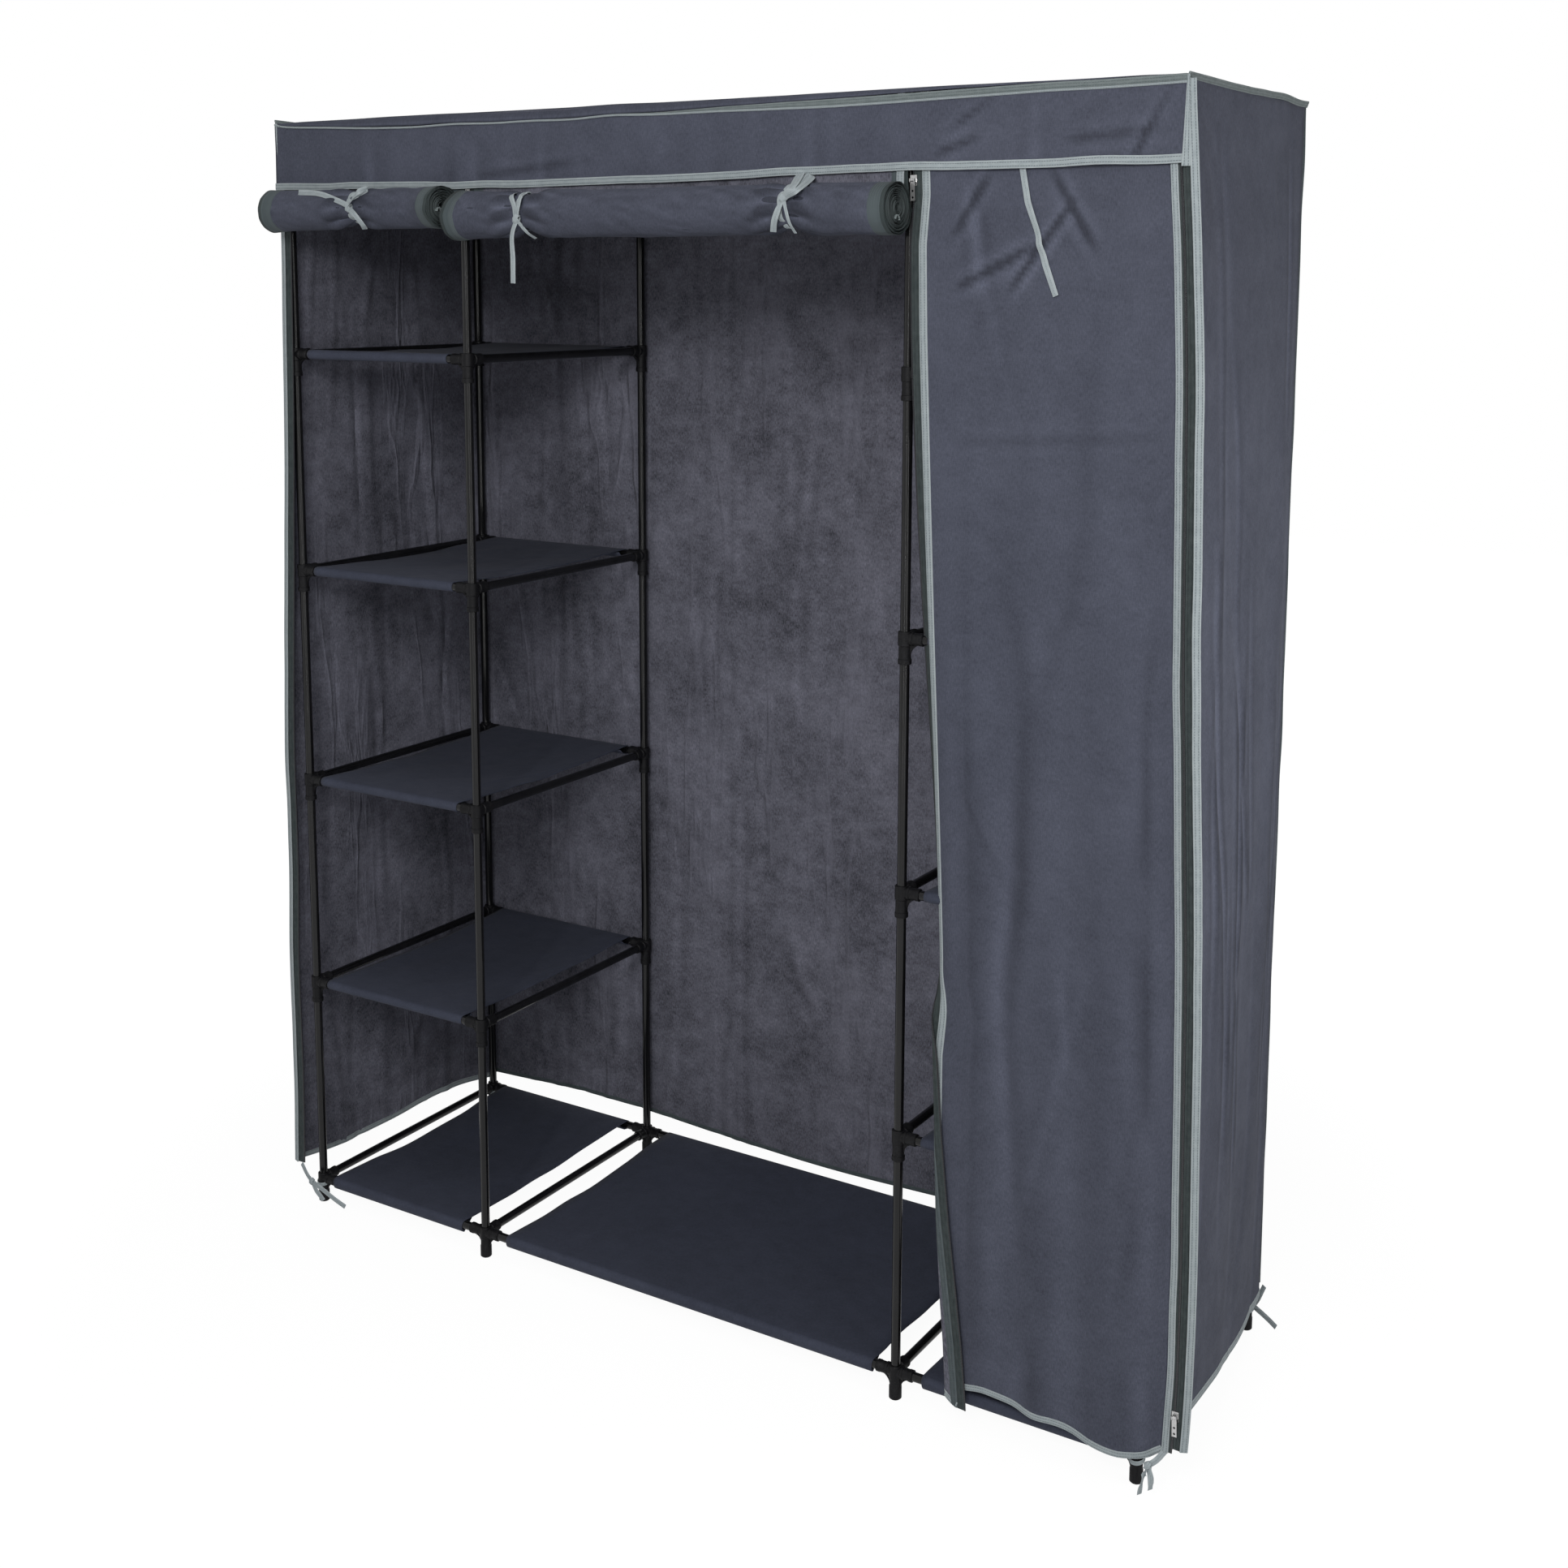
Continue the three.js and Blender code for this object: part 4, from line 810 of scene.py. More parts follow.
# creases at given places: both ends, width and height in metres; a minus sign is a dent
backLines = [
    (-0.536, 1.135, -0.499, 0.739, 0.004, 0.0030), (-0.638, 0.986, -0.616, 0.870, 0.005, 0.0028),
    (-0.706, 0.861, -0.649, 0.734, 0.005, -0.0030), (-0.429, 0.869, -0.389, 0.788, 0.005, 0.0028),
    (-0.604, 1.577, -0.554, 1.412, 0.004, -0.0034), (-0.194, 1.640, -0.190, 0.089, 0.0035, 0.0032),
    (-0.365, 0.599, -0.190, 0.570, 0.006, 0.0030), (-0.190, 0.570, 0.074, 0.640, 0.006, 0.0034),
    (-0.546, 1.385, -0.528, 1.149, 0.004, 0.0026), (-0.044, 1.244, -0.065, 1.034, 0.008, -0.0028),
    (-0.260, 1.536, -0.248, 1.287, 0.007, 0.0030), (-0.540, 0.646, -0.515, 0.435, 0.005, 0.0028),
    (-0.637, 0.391, -0.609, 0.119, 0.005, 0.0028), (-0.133, 0.509, -0.038, 0.318, 0.008, 0.0028),
    (-0.230, 1.047, -0.242, 0.772, 0.007, -0.0026), (-0.460, 1.333, -0.442, 1.113, 0.005, -0.0028),
    (0.014, 1.424, 0.066, 1.249, 0.008, 0.0026)]
leftLines = [
    (-0.021, 0.881, -0.015, 0.727, 0.004, 0.0030), (0.011, 1.129, 0.023, 1.030, 0.004, 0.0030),
    (-0.024, 0.637, -0.020, 0.427, 0.005, 0.0028), (0.069, 1.535, 0.080, 1.412, 0.004, 0.0028),
    (-0.072, 1.350, -0.061, 1.109, 0.005, -0.0028), (0.100, 1.274, 0.113, 1.076, 0.005, 0.0028),
    (-0.153, 0.310, -0.125, 0.083, 0.006, 0.0030), (0.139, 0.929, 0.122, 0.743, 0.005, -0.0028),
    (0.063, 0.238, 0.017, 0.119, 0.006, 0.0030), (-0.027, 1.534, -0.050, 1.429, 0.005, 0.0026)]
flapLines = [
    (0.445, 1.512, 0.548, 1.560, 0.006, 0.0017), (0.518, 1.515, 0.585, 1.602, 0.006, 0.0018),
    (0.458, 1.606, 0.468, 1.500, 0.012, -0.0018), (0.567, 1.642, 0.616, 1.561, 0.008, 0.0014),
    (0.477, 1.639, 0.434, 1.572, 0.008, 0.0018), (0.440, 1.318, 0.724, 1.336, 0.007, 0.0004)]
valanceLines = [
    (0.434, 1.703, 0.490, 1.737, 0.004, 0.0016), (0.590, 1.682, 0.694, 1.690, 0.005, 0.0014),
    (0.412, 1.672, 0.465, 1.688, 0.005, 0.0014), (-0.310, 1.663, -0.155, 1.676, 0.005, 0.0012),
    (0.708, 1.737, 0.668, 1.660, 0.005, 0.0014)]
lineGain = {"back": 1.3, "left": 1.3, "flap": 1.9, "valance": 1.6}
backLook = {
    "bulge": 0.006, "bulgeBelow": 0.6, "innermost": 0.001, "cornerFade": 12, "roofFade": 14,
    "creases": {"seed": 11, "count": 46, "across": (-0.7, 0.7), "along": (0.15, 1.7), "lean": 0.05,
                "width": (0.004, 0.012), "reach": (0.12, 0.5), "height": 0.0022, "drift": 0.012},
    "folds": {"seed": 12, "count": 16, "across": (-0.7, 0.7), "along": (0.2, 1.6), "lean": 0.25,
              "width": (0.02, 0.05), "reach": (0.2, 0.6), "height": 0.003, "drift": 0.03},
}
sideLook = {
    "bow": 0.004, "innermost": 0.0025, "cornerFade": 9, "roofFade": 10,
    "edgeBow": 0.004, "edgeInset": 0.006, "insetFrom": 0.95, "insetOver": 0.3, "insetShare": 0.07,
    "otherSeed": 9, "otherRise": 0.09,  # the right side's creases differ from the left side's
    "creases": {"seed": 21, "count": 16, "across": (-0.2, 0.2), "along": (0.15, 1.7), "lean": 0.06,
                "width": (0.004, 0.010), "reach": (0.12, 0.45), "height": 0.0030, "drift": 0.014},
    "folds": {"seed": 22, "count": 7, "across": (-0.2, 0.2), "along": (0.1, 1.6), "lean": 0.15,
              "width": (0.02, 0.05), "reach": (0.2, 0.6), "height": 0.004, "drift": 0.02},
}
flapLook = {
    "gain": 0.9, "cornerFade": 8, "zipFade": 10, "roofFade": 8,
    "creases": {"seed": 31, "count": 9, "across": (0.40, 0.74), "along": (0.3, 1.6), "lean": 0.3,
                "width": (0.007, 0.013), "reach": (0.05, 0.2), "height": 0.0012, "drift": 0.010},
    "folds": {"seed": 36, "count": 9, "across": (0.42, 0.74), "along": (0.1, 1.3), "lean": 0.08,
              "width": (0.016, 0.035), "reach": (0.3, 0.7), "height": 0.0055, "drift": 0.02},
}


def heightOn(low, share):
    # share runs from 0 at the hem to 1 at the roof, in a straight line
    return low + (top - low) * share


def backPoint(x, share):
    # x is the place across, as a share of the half width. The cloth's y is the back line plus
    # creases, faded out to the corners and the roof, and a bulge that grows towards the floor.
    look = backLook
    z = heightOn(backHem(x), share)
    inset, along = cornerArc((1 - np.abs(x)) * backCorner(z))
    place = np.sign(x) * (backCorner(z) - along)
    fade = limited((1 - np.abs(x)) * look["cornerFade"]) * limited((top - z) * look["roofFade"])
    wave = creaseField(place, z, look["creases"]) + creaseField(place, z, look["folds"])
    wave = wave - lineGain["back"] * creasesAt(place, z, backLines)
    low = limited(1 - z / look["bulgeBelow"])
    wave = wave + look["bulge"] * low * (0.5 + 0.5 * smoothNoise(place * 9, z * 2, 13))
    y = cover["back"] + cover["behind"] + np.maximum(wave * fade, -look["innermost"]) - inset
    return pointsAt(place, y, z)


def sidePoint(side, u, share):
    # u runs from 0 at the front corner to 1 at the back corner. The cloth's x is a straight line
    # between the two, plus a bow of sin(pi u) and creases, faded out to corners and roof.
    look, isRight = sideLook, side > 0
    z = heightOn(sideHem(u, side), share)
    corner = rightCorner(z) if isRight else -leftCorner(z)
    if not isRight:  # the free front edge bows out and in on its way down
        sway = smoothNoise(z * 5, 0.3, 27) * limited((top - z) * 3)
        tuck = ease((z - look["insetFrom"]) / look["insetOver"]) * limited(1 - u / look["insetShare"])**2
        corner = corner + look["edgeBow"] * sway * (1 - u)**2 - look["edgeInset"] * tuck
    back = cover["back"] + cover["behind"]
    inset, along = cornerArc((back - cover["front"]) * (1 - u))
    y = back - along
    fade = limited(u * look["cornerFade"]) * limited((1 - u) * look["cornerFade"])
    fade = fade * limited((top - z) * look["roofFade"])
    wave = 0
    for kind, rise in (("creases", look["otherRise"] * isRight), ("folds", 0)):
        crease = dict(look[kind], seed=look[kind]["seed"] + look["otherSeed"] * isRight)
        wave = wave + creaseField(y, z + rise, crease)
    if not isRight:
        wave = wave - lineGain["left"] * creasesAt(y, z, leftLines)
    bow = look["bow"] * np.sin(np.pi * u) * limited((top - z) * 4)
    flat = corner + (backCorner(z) - corner) * u
    x = side * (flat + bow + np.maximum(wave * fade, -look["innermost"]) - inset)
    return pointsAt(x, y, z)


def reliefOf(points):
    # how far each point stands out from the mean of its four neighbours two cells away, in
    # millimetres from -1 to 1: ridges are positive and dents negative, seen from the outside
    # the cloth's materials paint shade into the dents and light on to the ridges from this
    rows, columns = points.shape[:2]
    padded = np.pad(points, ((2, 2), (2, 2), (0, 0)), "edge")
    around = (padded[:rows, 2:-2] + padded[4:, 2:-2] + padded[2:-2, :columns] + padded[2:-2, 4:]) / 4
    normal = unit(np.cross(np.gradient(points, axis=1), np.gradient(points, axis=0)))
    relief = ((points - around) * normal).sum(-1) * 1000
    relief[:2], relief[-2:], relief[:, :2], relief[:, -2:] = 0, 0, 0, 0
    return np.clip(relief, -1, 1)


def clothPart(points):
    # u and v are metres along the cloth, from the mean spacing of its columns and rows
    across = np.linalg.norm(np.diff(points, axis=1), axis=-1).mean(0)
    along = np.linalg.norm(np.diff(points, axis=0), axis=-1).mean(1)
    u, v = np.concatenate([[0], np.cumsum(across)]), np.concatenate([[0], np.cumsum(along)])
    uu, vv = np.meshgrid(u, v)
    return {"grid": points, "uv": np.stack([uu, vv], -1), "relief": reliefOf(points)}


def coverPiece(name, points, node):
    # cloth with its outside and its felted inside
    piece = buildPiece(name, [clothPart(points)], [coverCloth, feltInside], replaces=[node])
    thicken(piece, cover["thickness"])
    return piece


def edgeStrip(points, across, slot=0, width=cover["bindingWidth"]):
    return strip(points, across, width, cover["bindingThickness"], slot)


def waver(points, amount, seed, axis=2):
    # a sewn edge is never quite straight: shifts each point by noise of its way along the edge
    points = points.copy()
    points[:, axis] += amount * smoothNoise(runLength(points) * 14, 0.5, seed)
    return points


shares = np.linspace(0, 1, 170)[:, None]
backPanel = coverPiece("back_panel_cloth", backPoint(np.linspace(-1, 1, 200), shares), "back_panel")
# left panel: columns from front to back; right panel: from back to front, so that both face out
depths = np.linspace(0, 1, 70)
leftPanel = coverPiece("left_side_cloth", sidePoint(-1, depths, shares), "left_side_panel")
rightPanel = coverPiece("right_side_cloth", sidePoint(1, depths[::-1], shares), "right_side_panel")
print("panels built")


# the seam between roof and valance sags, its hem dips, and ties pull the hem in
hanging = {
    "sag": 0.015, "sagSpan": 1.45, "sagPower": 0.55, "unevenness": 0.0012, "dip": 0.007, "dipShare": 0.7,
    "wave": 0.0022, "ripple": 0.0012, "forward": 0.001, "furthestBack": 0.0012,
    "ties": (-0.535, -0.210, 0.228, 0.541), "tiePinch": 0.0016, "tieReach": 0.012,
    "pullAt": -0.345, "pullRoom": 0.0020, "pullReach": 0.022,  # leaves room for the divider's pull
}


def seamDrop(x):
    # the front seam's way below the roof's edge: sag x sin(pi s^0.55), s from the left corner
    h = hanging
    share = limited((x + cover["halfWidth"]) / h["sagSpan"])
    return h["sag"] * np.sin(np.pi * share**h["sagPower"]) + h["unevenness"] * smoothNoise(x * 11, 0.7, 64)


def valanceHemAt(x):
    # the hem's height: dip x sin(pi s) over the left part, and a little noise
    h = hanging
    share = (x + cover["halfWidth"]) / (2 * cover["halfWidth"])
    dip = h["dip"] * np.sin(np.pi * np.minimum(1, share / h["dipShare"]))
    return cover["valanceHem"] - dip + h["unevenness"] * smoothNoise(x * 16, 0.2, 61)


def valancePoint(x, share):
    # hangs a little forward of the flaps; faint waves and creases grow towards its hem, where the
    # ties pinch it back as exp(-(distance / reach)^2)
    h = hanging
    z = valanceHemAt(x) + (top - seamDrop(x) - valanceHemAt(x)) * share
    wave = h["wave"] * smoothNoise(x * 9 + z * 2, z * 4, 62) + h["ripple"] * smoothNoise(x * 30, z * 10, 63)
    wave = wave + lineGain["valance"] * creasesAt(x, z, valanceLines)
    pinch = sum(h["tiePinch"] * np.exp(-((x - tie) / h["tieReach"])**2) for tie in h["ties"])
    pinch = pinch + h["pullRoom"] * np.exp(-((x - h["pullAt"]) / h["pullReach"])**4)
    y = cover["valanceFront"] + pinch * (1 - share)
    y = y - np.maximum(wave * (1 - share) + h["forward"], -h["furthestBack"])
    return roofPlace(pointsAt(x, y, z))


roof = {"edge": 0.004, "rise": 0.0009, "swell": 0.0012, "unevenness": 0.0008, "leftNarrow": 1.3}


def roofPlace(points):
    # the roof narrows to the left corners and to the right back corner
    points = points.copy()
    back = limited((points[..., 1] - cover["front"]) / (cover["back"] - cover["front"]))
    narrow = 1 - cover["backHalf"] / cover["halfWidth"]
    points[..., 0] *= 1 - np.where(points[..., 0] < 0, narrow * roof["leftNarrow"], narrow * back)
    return points


def roofPoints():
    # the cloth lies on the top rails, swells a little and turns down a quarter round to the seam
    wide, start = cover["halfWidth"], cover["front"] + roof["edge"]
    xs, ys = np.meshgrid(np.linspace(-wide, wide, 160), np.linspace(start, cover["back"], 46))
    swell = roof["swell"] + roof["unevenness"] * smoothNoise(xs * 12, ys * 12, 51)
    flat = pointsAt(xs, ys, top + roof["rise"] + swell * limited((wide - np.abs(xs)) * 20))
    xs, angle = np.meshgrid(xs[0], np.linspace(0, 1, 8)[:-1] * np.pi / 2)
    bend = pointsAt(xs, cover["valanceFront"] + (start - cover["valanceFront"]) * (1 - np.cos(angle)),
                    flat[0, :, 2] - seamDrop(xs) * (1 - np.sin(angle)))
    return roofPlace(np.concatenate([bend, flat]))[:, ::-1]


roofPanel = coverPiece("roof_cloth", roofPoints(), "roof_panel")
hangingX = np.linspace(cover["halfWidth"], -cover["halfWidth"], 240)
valance = coverPiece("valance_cloth", valancePoint(hangingX, np.linspace(0, 1, 16)[:, None]), "valance")


# right flap

flap = {
    "leftTop": 0.385, "leftFall": 0.072, "rightInset": 0.0249, "foldReach": 0.016, "foldFrom": 0.12,
    "curlReach": 0.030, "curl": math.radians(52), "curlBelow": 1.5, "curlOver": 0.85,
    "bend": 0.0026, "open": 0.10, "turnedBelow": 0.63, "turnedOver": 0.07, "behind": 0.0005,
}
# Heights and how far the left edge lies from the straight line there, then heights and how
# much of the edge is turned over to the front, then the hem's height at shares across.
edgeHeights = (0.025, 0.12, 0.173, 0.287, 0.556, 0.65, 1.10, 1.45, 1.56, 1.62)
edgeShift = (-0.006, -0.0075, -0.010, -0.0125, -0.0125, -0.010, -0.010, -0.009, -0.007, 0)
turnHeights = (0.05, 0.182, 0.292, 0.403, 0.514, 0.556, 0.60)
turnedOver = (0.0213, 0.0158, 0.0079, 0.0003, -0.0042, -0.0102, -0.0150)
hemShares = (0, 0.015, 0.133, 0.231, 0.367, 0.538, 0.707, 0.835, 0.921, 0.97, 1.0)
hemHeights = (0.030, 0.0321, 0.0567, 0.0641, 0.0594, 0.0551, 0.0443, 0.0409, 0.0434, 0.0552, 0.066)


def flapLeft(z):
    # x of the left edge: a straight line from roof to floor, plus the table's value
    straight = flap["leftTop"] + flap["leftFall"] * (1 - z / top)
    return straight + np.interp(z, edgeHeights, edgeShift)


def flapRight(z):
    return rightCorner(z) - flap["rightInset"]


def flapWidth(z):
    return flapRight(z) - flapLeft(z)


def flapHem(t):
    # the mean of three readings of the table, 0.02 of the width apart
    return sum(np.interp(t + 0.02 * n, hemShares, hemHeights) for n in (-1, 0, 1)) / 3


def edgeTurn(s, z):
    # s is the way in from the left edge. Higher up the edge curls back: the cloth's angle falls
    # evenly to 0 over the curl's reach. Near the floor it is turned over to the front round a
    # half circle of the bend's radius. The one goes over into the other within 70 mm of height.
    reach, r = flap["curlReach"], flap["bend"]
    angle = np.maximum(flap["curl"] * ease((flap["curlBelow"] - z) / flap["curlOver"]), 1e-3)
    q = angle * np.clip(1 - s / reach, 0, 2)
    curlX = np.where(s < reach, reach - reach / angle * np.sin(q), s)
    curlY = reach / angle * (1 - np.cos(q))
    p = s - np.interp(z, turnHeights, turnedOver)
    a = np.clip(p / r, -np.pi / 2, np.pi / 2)
    past = np.maximum(np.abs(p) - np.pi * r / 2, 0)
    overX = r - r * np.cos(a) + past
    overY = -r + r * np.sin(a) - flap["open"] * past * (p < 0)
    over = ease((flap["turnedBelow"] - z) / flap["turnedOver"])
    return curlX * (1 - over) + overX * over, curlY * (1 - over) + overY * over


def flapPoint(t, share, lift=0.0):
    # t runs from 0 at the left edge to 1 at the zip; broad folds grow with the way down ^ 1.5
    look = flapLook
    z = heightOn(flapHem(limited(t)), share)
    left, wide = flapLeft(z), flapWidth(z)
    turnX, turnY = edgeTurn(wide * t, z)
    x = left + wide * t + (turnX - wide * t) * (1 - limited(t))
    arch = np.sin(np.pi * limited((t - flap["foldFrom"]) / (1 - flap["foldFrom"])))
    folds = arch * (0.45 + 0.55 * np.sin(2 * np.pi * (1.6 * t + 0.12 * z))**2)
    fade = limited((t - 0.05) * look["cornerFade"]) * limited((1 - t) * look["zipFade"])
    fade = fade * limited((top - z) * look["roofFade"])
    wave = creaseField(x, z, look["creases"]) + creaseField(x, z, look["folds"])
    wave = wave + lineGain["flap"] * creasesAt(x, z, flapLines)
    y = cover["front"] - flap["foldReach"] * (1 - z / top)**1.5 * folds + turnY
    return pointsAt(x, y - wave * fade * look["gain"] - flap["behind"] - lift, z)


# the columns are closer together near the turned edge
acrossFlap = np.concatenate([np.linspace(1, 0.17, 66), np.linspace(0.16, 0, 52)])
flapGrid = flapPoint(acrossFlap, np.linspace(0, 1, 250)[:, None])
rightFlap = coverPiece("right_flap_cloth", flapGrid, "right_flap")
down = np.linspace(1, 0, 230)


def flapBand(low, high, columns):
    # the cloth's points between two distances in from the left edge
    s = np.linspace(low, high, columns)
    return flapPoint(s / flapWidth(down * top)[:, None], down[:, None])


# the bindings' widths, and how far their middles lie from the cloth's edge
flapEdging = {"from": -0.0010, "to": 0.0100, "rightWidth": 0.0092, "hemWidth": 0.0085,
              "rightShift": [0.0038, -0.0008, 0], "hemShift": [0, 0, 0.0035]}
hemT = np.concatenate([np.linspace(0, 0.16, 60), np.linspace(0.17, 1, 66)])
hemEdge = flapPoint(hemT, 0.0) + flapEdging["hemShift"]
rightEdge = flapPoint(1.0, down) + flapEdging["rightShift"]
leftBand = flapBand(flapEdging["from"], flapEdging["to"], 11)
# the left band's back face takes the binding tape painted in deep shade
flapBindings = buildPiece("right_flap_bindings", [
    clothBand(leftBand, cover["bindingThickness"], 0, 1),
    edgeStrip(waver(rightEdge, 0.0008, 72, 0), (1, 0, 0), width=flapEdging["rightWidth"]),
    edgeStrip(hemEdge, (0, 0, 1), width=flapEdging["hemWidth"]),
], [bindingTape, deepShadeBinding])


# zips

zipper = {
    "tape": 0.0115, "tapeThickness": 0.0009, "chain": 0.0022, "chainThickness": 0.0018,
    "top": top - 0.004, "rightEnd": 0.070, "leftEnd": 0.062,
}


def zipHalf(edge, outward):
    # the tape lies beside the edge, and its row of teeth along the tape's far side
    across = unit(outward)
    tape = strip(edge + across * zipper["tape"] / 2, across, zipper["tape"], zipper["tapeThickness"])
    teeth = strip(edge + across * (zipper["tape"] + zipper["chain"] / 2), across, zipper["chain"],
                  zipper["chainThickness"], 1, 8)
    return [tape, teeth]


flapRightZip = flapPoint(1.0, down) + [-0.001, 0.0003, 0]
tapeEdge = -zipper["tape"]
flapZips = buildPiece("right_flap_zips", [
    clothBand(flapBand(tapeEdge, 0.0005, 9), zipper["tapeThickness"], 0, 0),
    clothBand(flapBand(tapeEdge - zipper["chain"], tapeEdge, 5), zipper["chainThickness"], 1, 1),
] + zipHalf(flapRightZip, (1, 0, 0)), [zipTape, zipChain])

# the right corner's other half is sewn to the side panel's front edge
cornerZ = np.linspace(zipper["top"], zipper["rightEnd"], 200)
sideEdge = pointsAt(rightCorner(cornerZ) + 0.0002, cover["front"] - 0.0002, cornerZ)
rightCornerZip = buildPiece("right_corner_zip", zipHalf(sideEdge, (-1, 0, 0)), [zipTape, zipChain])
cornerBinding = edgeStrip(waver(sideEdge + [0.0026, 0.0004, 0], 0.0010, 73, 0), (0.86, 0.51, 0))
leftZ = np.linspace(zipper["top"], zipper["leftEnd"], 200)
leftEdge = sidePoint(-1, 0.0, (leftZ - sideHem(0, -1)) / (top - sideHem(0, -1)))
leftHalf = zipHalf(leftEdge + [0.002, 0, 0], (0.99, 0.14, 0))
leftCornerZip = buildPiece("left_corner_zip", leftHalf, [zipTape, zipChain])
leftBinding = edgeStrip(waver(leftEdge + [-0.001, 0, 0], 0.0009, 74, 0), (0.94, -0.34, 0))
print("right flap and zips built")


# bindings of the cover

upright = (0, 0, 1)
wideHalf = cover["halfWidth"]
seam = {
    "rise": 0.0012, "width": 0.0085, "waver": 0.0013, "forward": 0.0012, "backward": 0.002, "outward": 0.001,
    "bandLow": 0.0006, "bandGrowth": 0.0082, "bandFrom": -0.12, "bandOver": 0.42, "line": 0.0026,
    "frontLean": (0, -0.2, 0.98), "backLean": (0, 0.35, 0.94), "rightLean": (0.35, 0, 0.94),
    "leftLean": (-0.35, 0, 0.94), "rightWaver": 0.00286,
}
seamX = np.linspace(-wideHalf, wideHalf, 220)
seamY = np.linspace(cover["front"] - 0.004, cover["back"], 80)
seamZ = top + seam["rise"]
frontSeam = roofPlace(pointsAt(seamX, cover["valanceFront"] - seam["forward"], seamZ - seamDrop(seamX)))
backSeam = roofPlace(pointsAt(seamX, cover["back"] + seam["backward"], seamZ))
leftSeam, rightSeam = (roofPlace(pointsAt(side * (wideHalf + seam["outward"]), seamY, seamZ))
                       for side in (-1, 1))
# the front seam's upright band grows from nothing to its full height on the way to the right
bandHeight = seam["bandLow"] + seam["bandGrowth"] * ease((seamX - seam["bandFrom"]) / seam["bandOver"])
bandPath = waver(frontSeam, seam["waver"], 81) - bandHeight[:, None] / 2 * upright
linePath = bandPath - (bandHeight[:, None] / 2 + 0.0008) * upright + [0, -0.0004, 0]
# the upright band and the back and side seams take the binding tape painted in half shade; the thin line
# below the band takes the light tape
roofBinding = buildPiece("roof_binding", [
    edgeStrip(bandPath, seam["frontLean"], 1, bandHeight),
    edgeStrip(linePath, seam["frontLean"], 0, seam["line"]),
    edgeStrip(waver(backSeam, seam["waver"], 82), seam["backLean"], 1, seam["width"]),
    edgeStrip(waver(rightSeam, seam["rightWaver"], 83), seam["rightLean"], 1, seam["width"]),
    edgeStrip(waver(leftSeam, seam["waver"], 84), seam["leftLean"], 1, seam["width"]),
], [bindingTape, halfShadeBinding])

edging = {"valanceHem": [0, -0.0004, 0.0045], "backHem": [0, 0, 0.0035], "sideHem": [0, 0, 0.004],
          "waver": 0.0008, "backWaver": 0.0012, "backHemWidth": 0.008, "backWidth": 0.007, "backEnd": 0.07,
          "leftEndWidth": 0.008, "rightEndWidth": (0.003, 0.0105)}
cornerTop = np.linspace(top, cover["valanceHem"] - 0.004, 24)
leftEnd, rightEnd = (pointsAt(x, cover["valanceFront"] + 0.0006, cornerTop)
                     for x in (leftCorner(top), wideHalf + seam["outward"]))
valanceBinding = buildPiece("valance_binding", [
    edgeStrip(valancePoint(seamX, 0.0) + edging["valanceHem"], upright),
    edgeStrip(waver(leftEnd, edging["waver"], 85, 0), (0.9, -0.43, 0), width=edging["leftEndWidth"]),
    edgeStrip(waver(rightEnd, edging["waver"], 86, 0), (0.86, 0.51, 0),
              width=np.linspace(*edging["rightEndWidth"], 24)),
], [bindingTape])

backZ = np.linspace(top, edging["backEnd"], 160)
cornerIn = 0.29 * cover["cornerRadius"]  # a quarter circle's middle lies this far in
backParts = [edgeStrip(backPoint(np.linspace(-1, 1, 200), 0.0) + edging["backHem"], upright,
                       width=edging["backHemWidth"])]
for side, seed in ((-1, 87), (1, 88)):
    edge = pointsAt(side * (backCorner(backZ) - cornerIn), cover["back"] + cover["behind"] - cornerIn, backZ)
    backParts.append(edgeStrip(waver(edge, edging["backWaver"], seed, 0), (side * 0.7, 0.7, 0),
                               width=edging["backWidth"]))
# the back's bindings take the binding tape painted in deep shade
backBinding = buildPiece("back_binding", backParts, [deepShadeBinding])
leftHem, rightHemPath = (edgeStrip(sidePoint(side, np.linspace(0, 1, 90), 0.0) + edging["sideHem"], upright)
                         for side in (-1, 1))
leftSideBinding = buildPiece("left_side_binding", [leftBinding, leftHem], [bindingTape])
rightSideBinding = buildPiece("right_side_binding", [cornerBinding, rightHemPath], [bindingTape])
print("bindings sewn")


# rolled flaps

rolls = {
    "left": {
        "low": -0.7045, "high": -0.3505, "radius": 0.031, "axisZ": 1.6172, "length": 1.62,
        "ties": [(-0.528, 0.36)], "seed": 91, "columns": 96, "band": 0.020,
        "forward": 0.017, "tilt": 0.20, "lean": 0.1, "flares": (0.10, 0.03), "curlAt": (-0.2864, 1.6113),
    },
    "middle": {
        "low": -0.3395, "high": 0.3684, "radius": 0.034, "axisZ": 1.6052, "length": 1.60,
        "ties": [(-0.2065, 0.34), (0.222, 0.26)], "seed": 95, "columns": 146, "band": 0.017,
        "forward": -0.009, "tilt": 0.06, "lean": 0.35, "flares": (0.07, 0.02), "curlAt": (-0.2572, 1.5919),
    },
}
rollDetail = {
    "core": 0.0045, "perTurn": 16, "outer": 96, "thickness": 0.0006, "reach": 0.026, "behind": 0.0012,
    "loose": 0.0020, "tape": 0.006, "pleat": 0.0042, "pleatFrom": 0.024, "pleatReach": 0.020,
    "bendReach": 0.07, "flareReach": 0.03, "shift": 0.0022, "hang": 0.0008,
    "curl": 0.0046, "curlWidth": 0.010, "curlThickness": 0.0020, "curlIn": 0.003,
}


def rollAxisY(roll, x=0.0):
    # the roll's right end leans forward, over its last 70 mm
    lean = roll["forward"] * ease(1 + (x - roll["high"]) / rollDetail["bendReach"])
    return cover["front"] - rollDetail["behind"] - roll["radius"] - lean


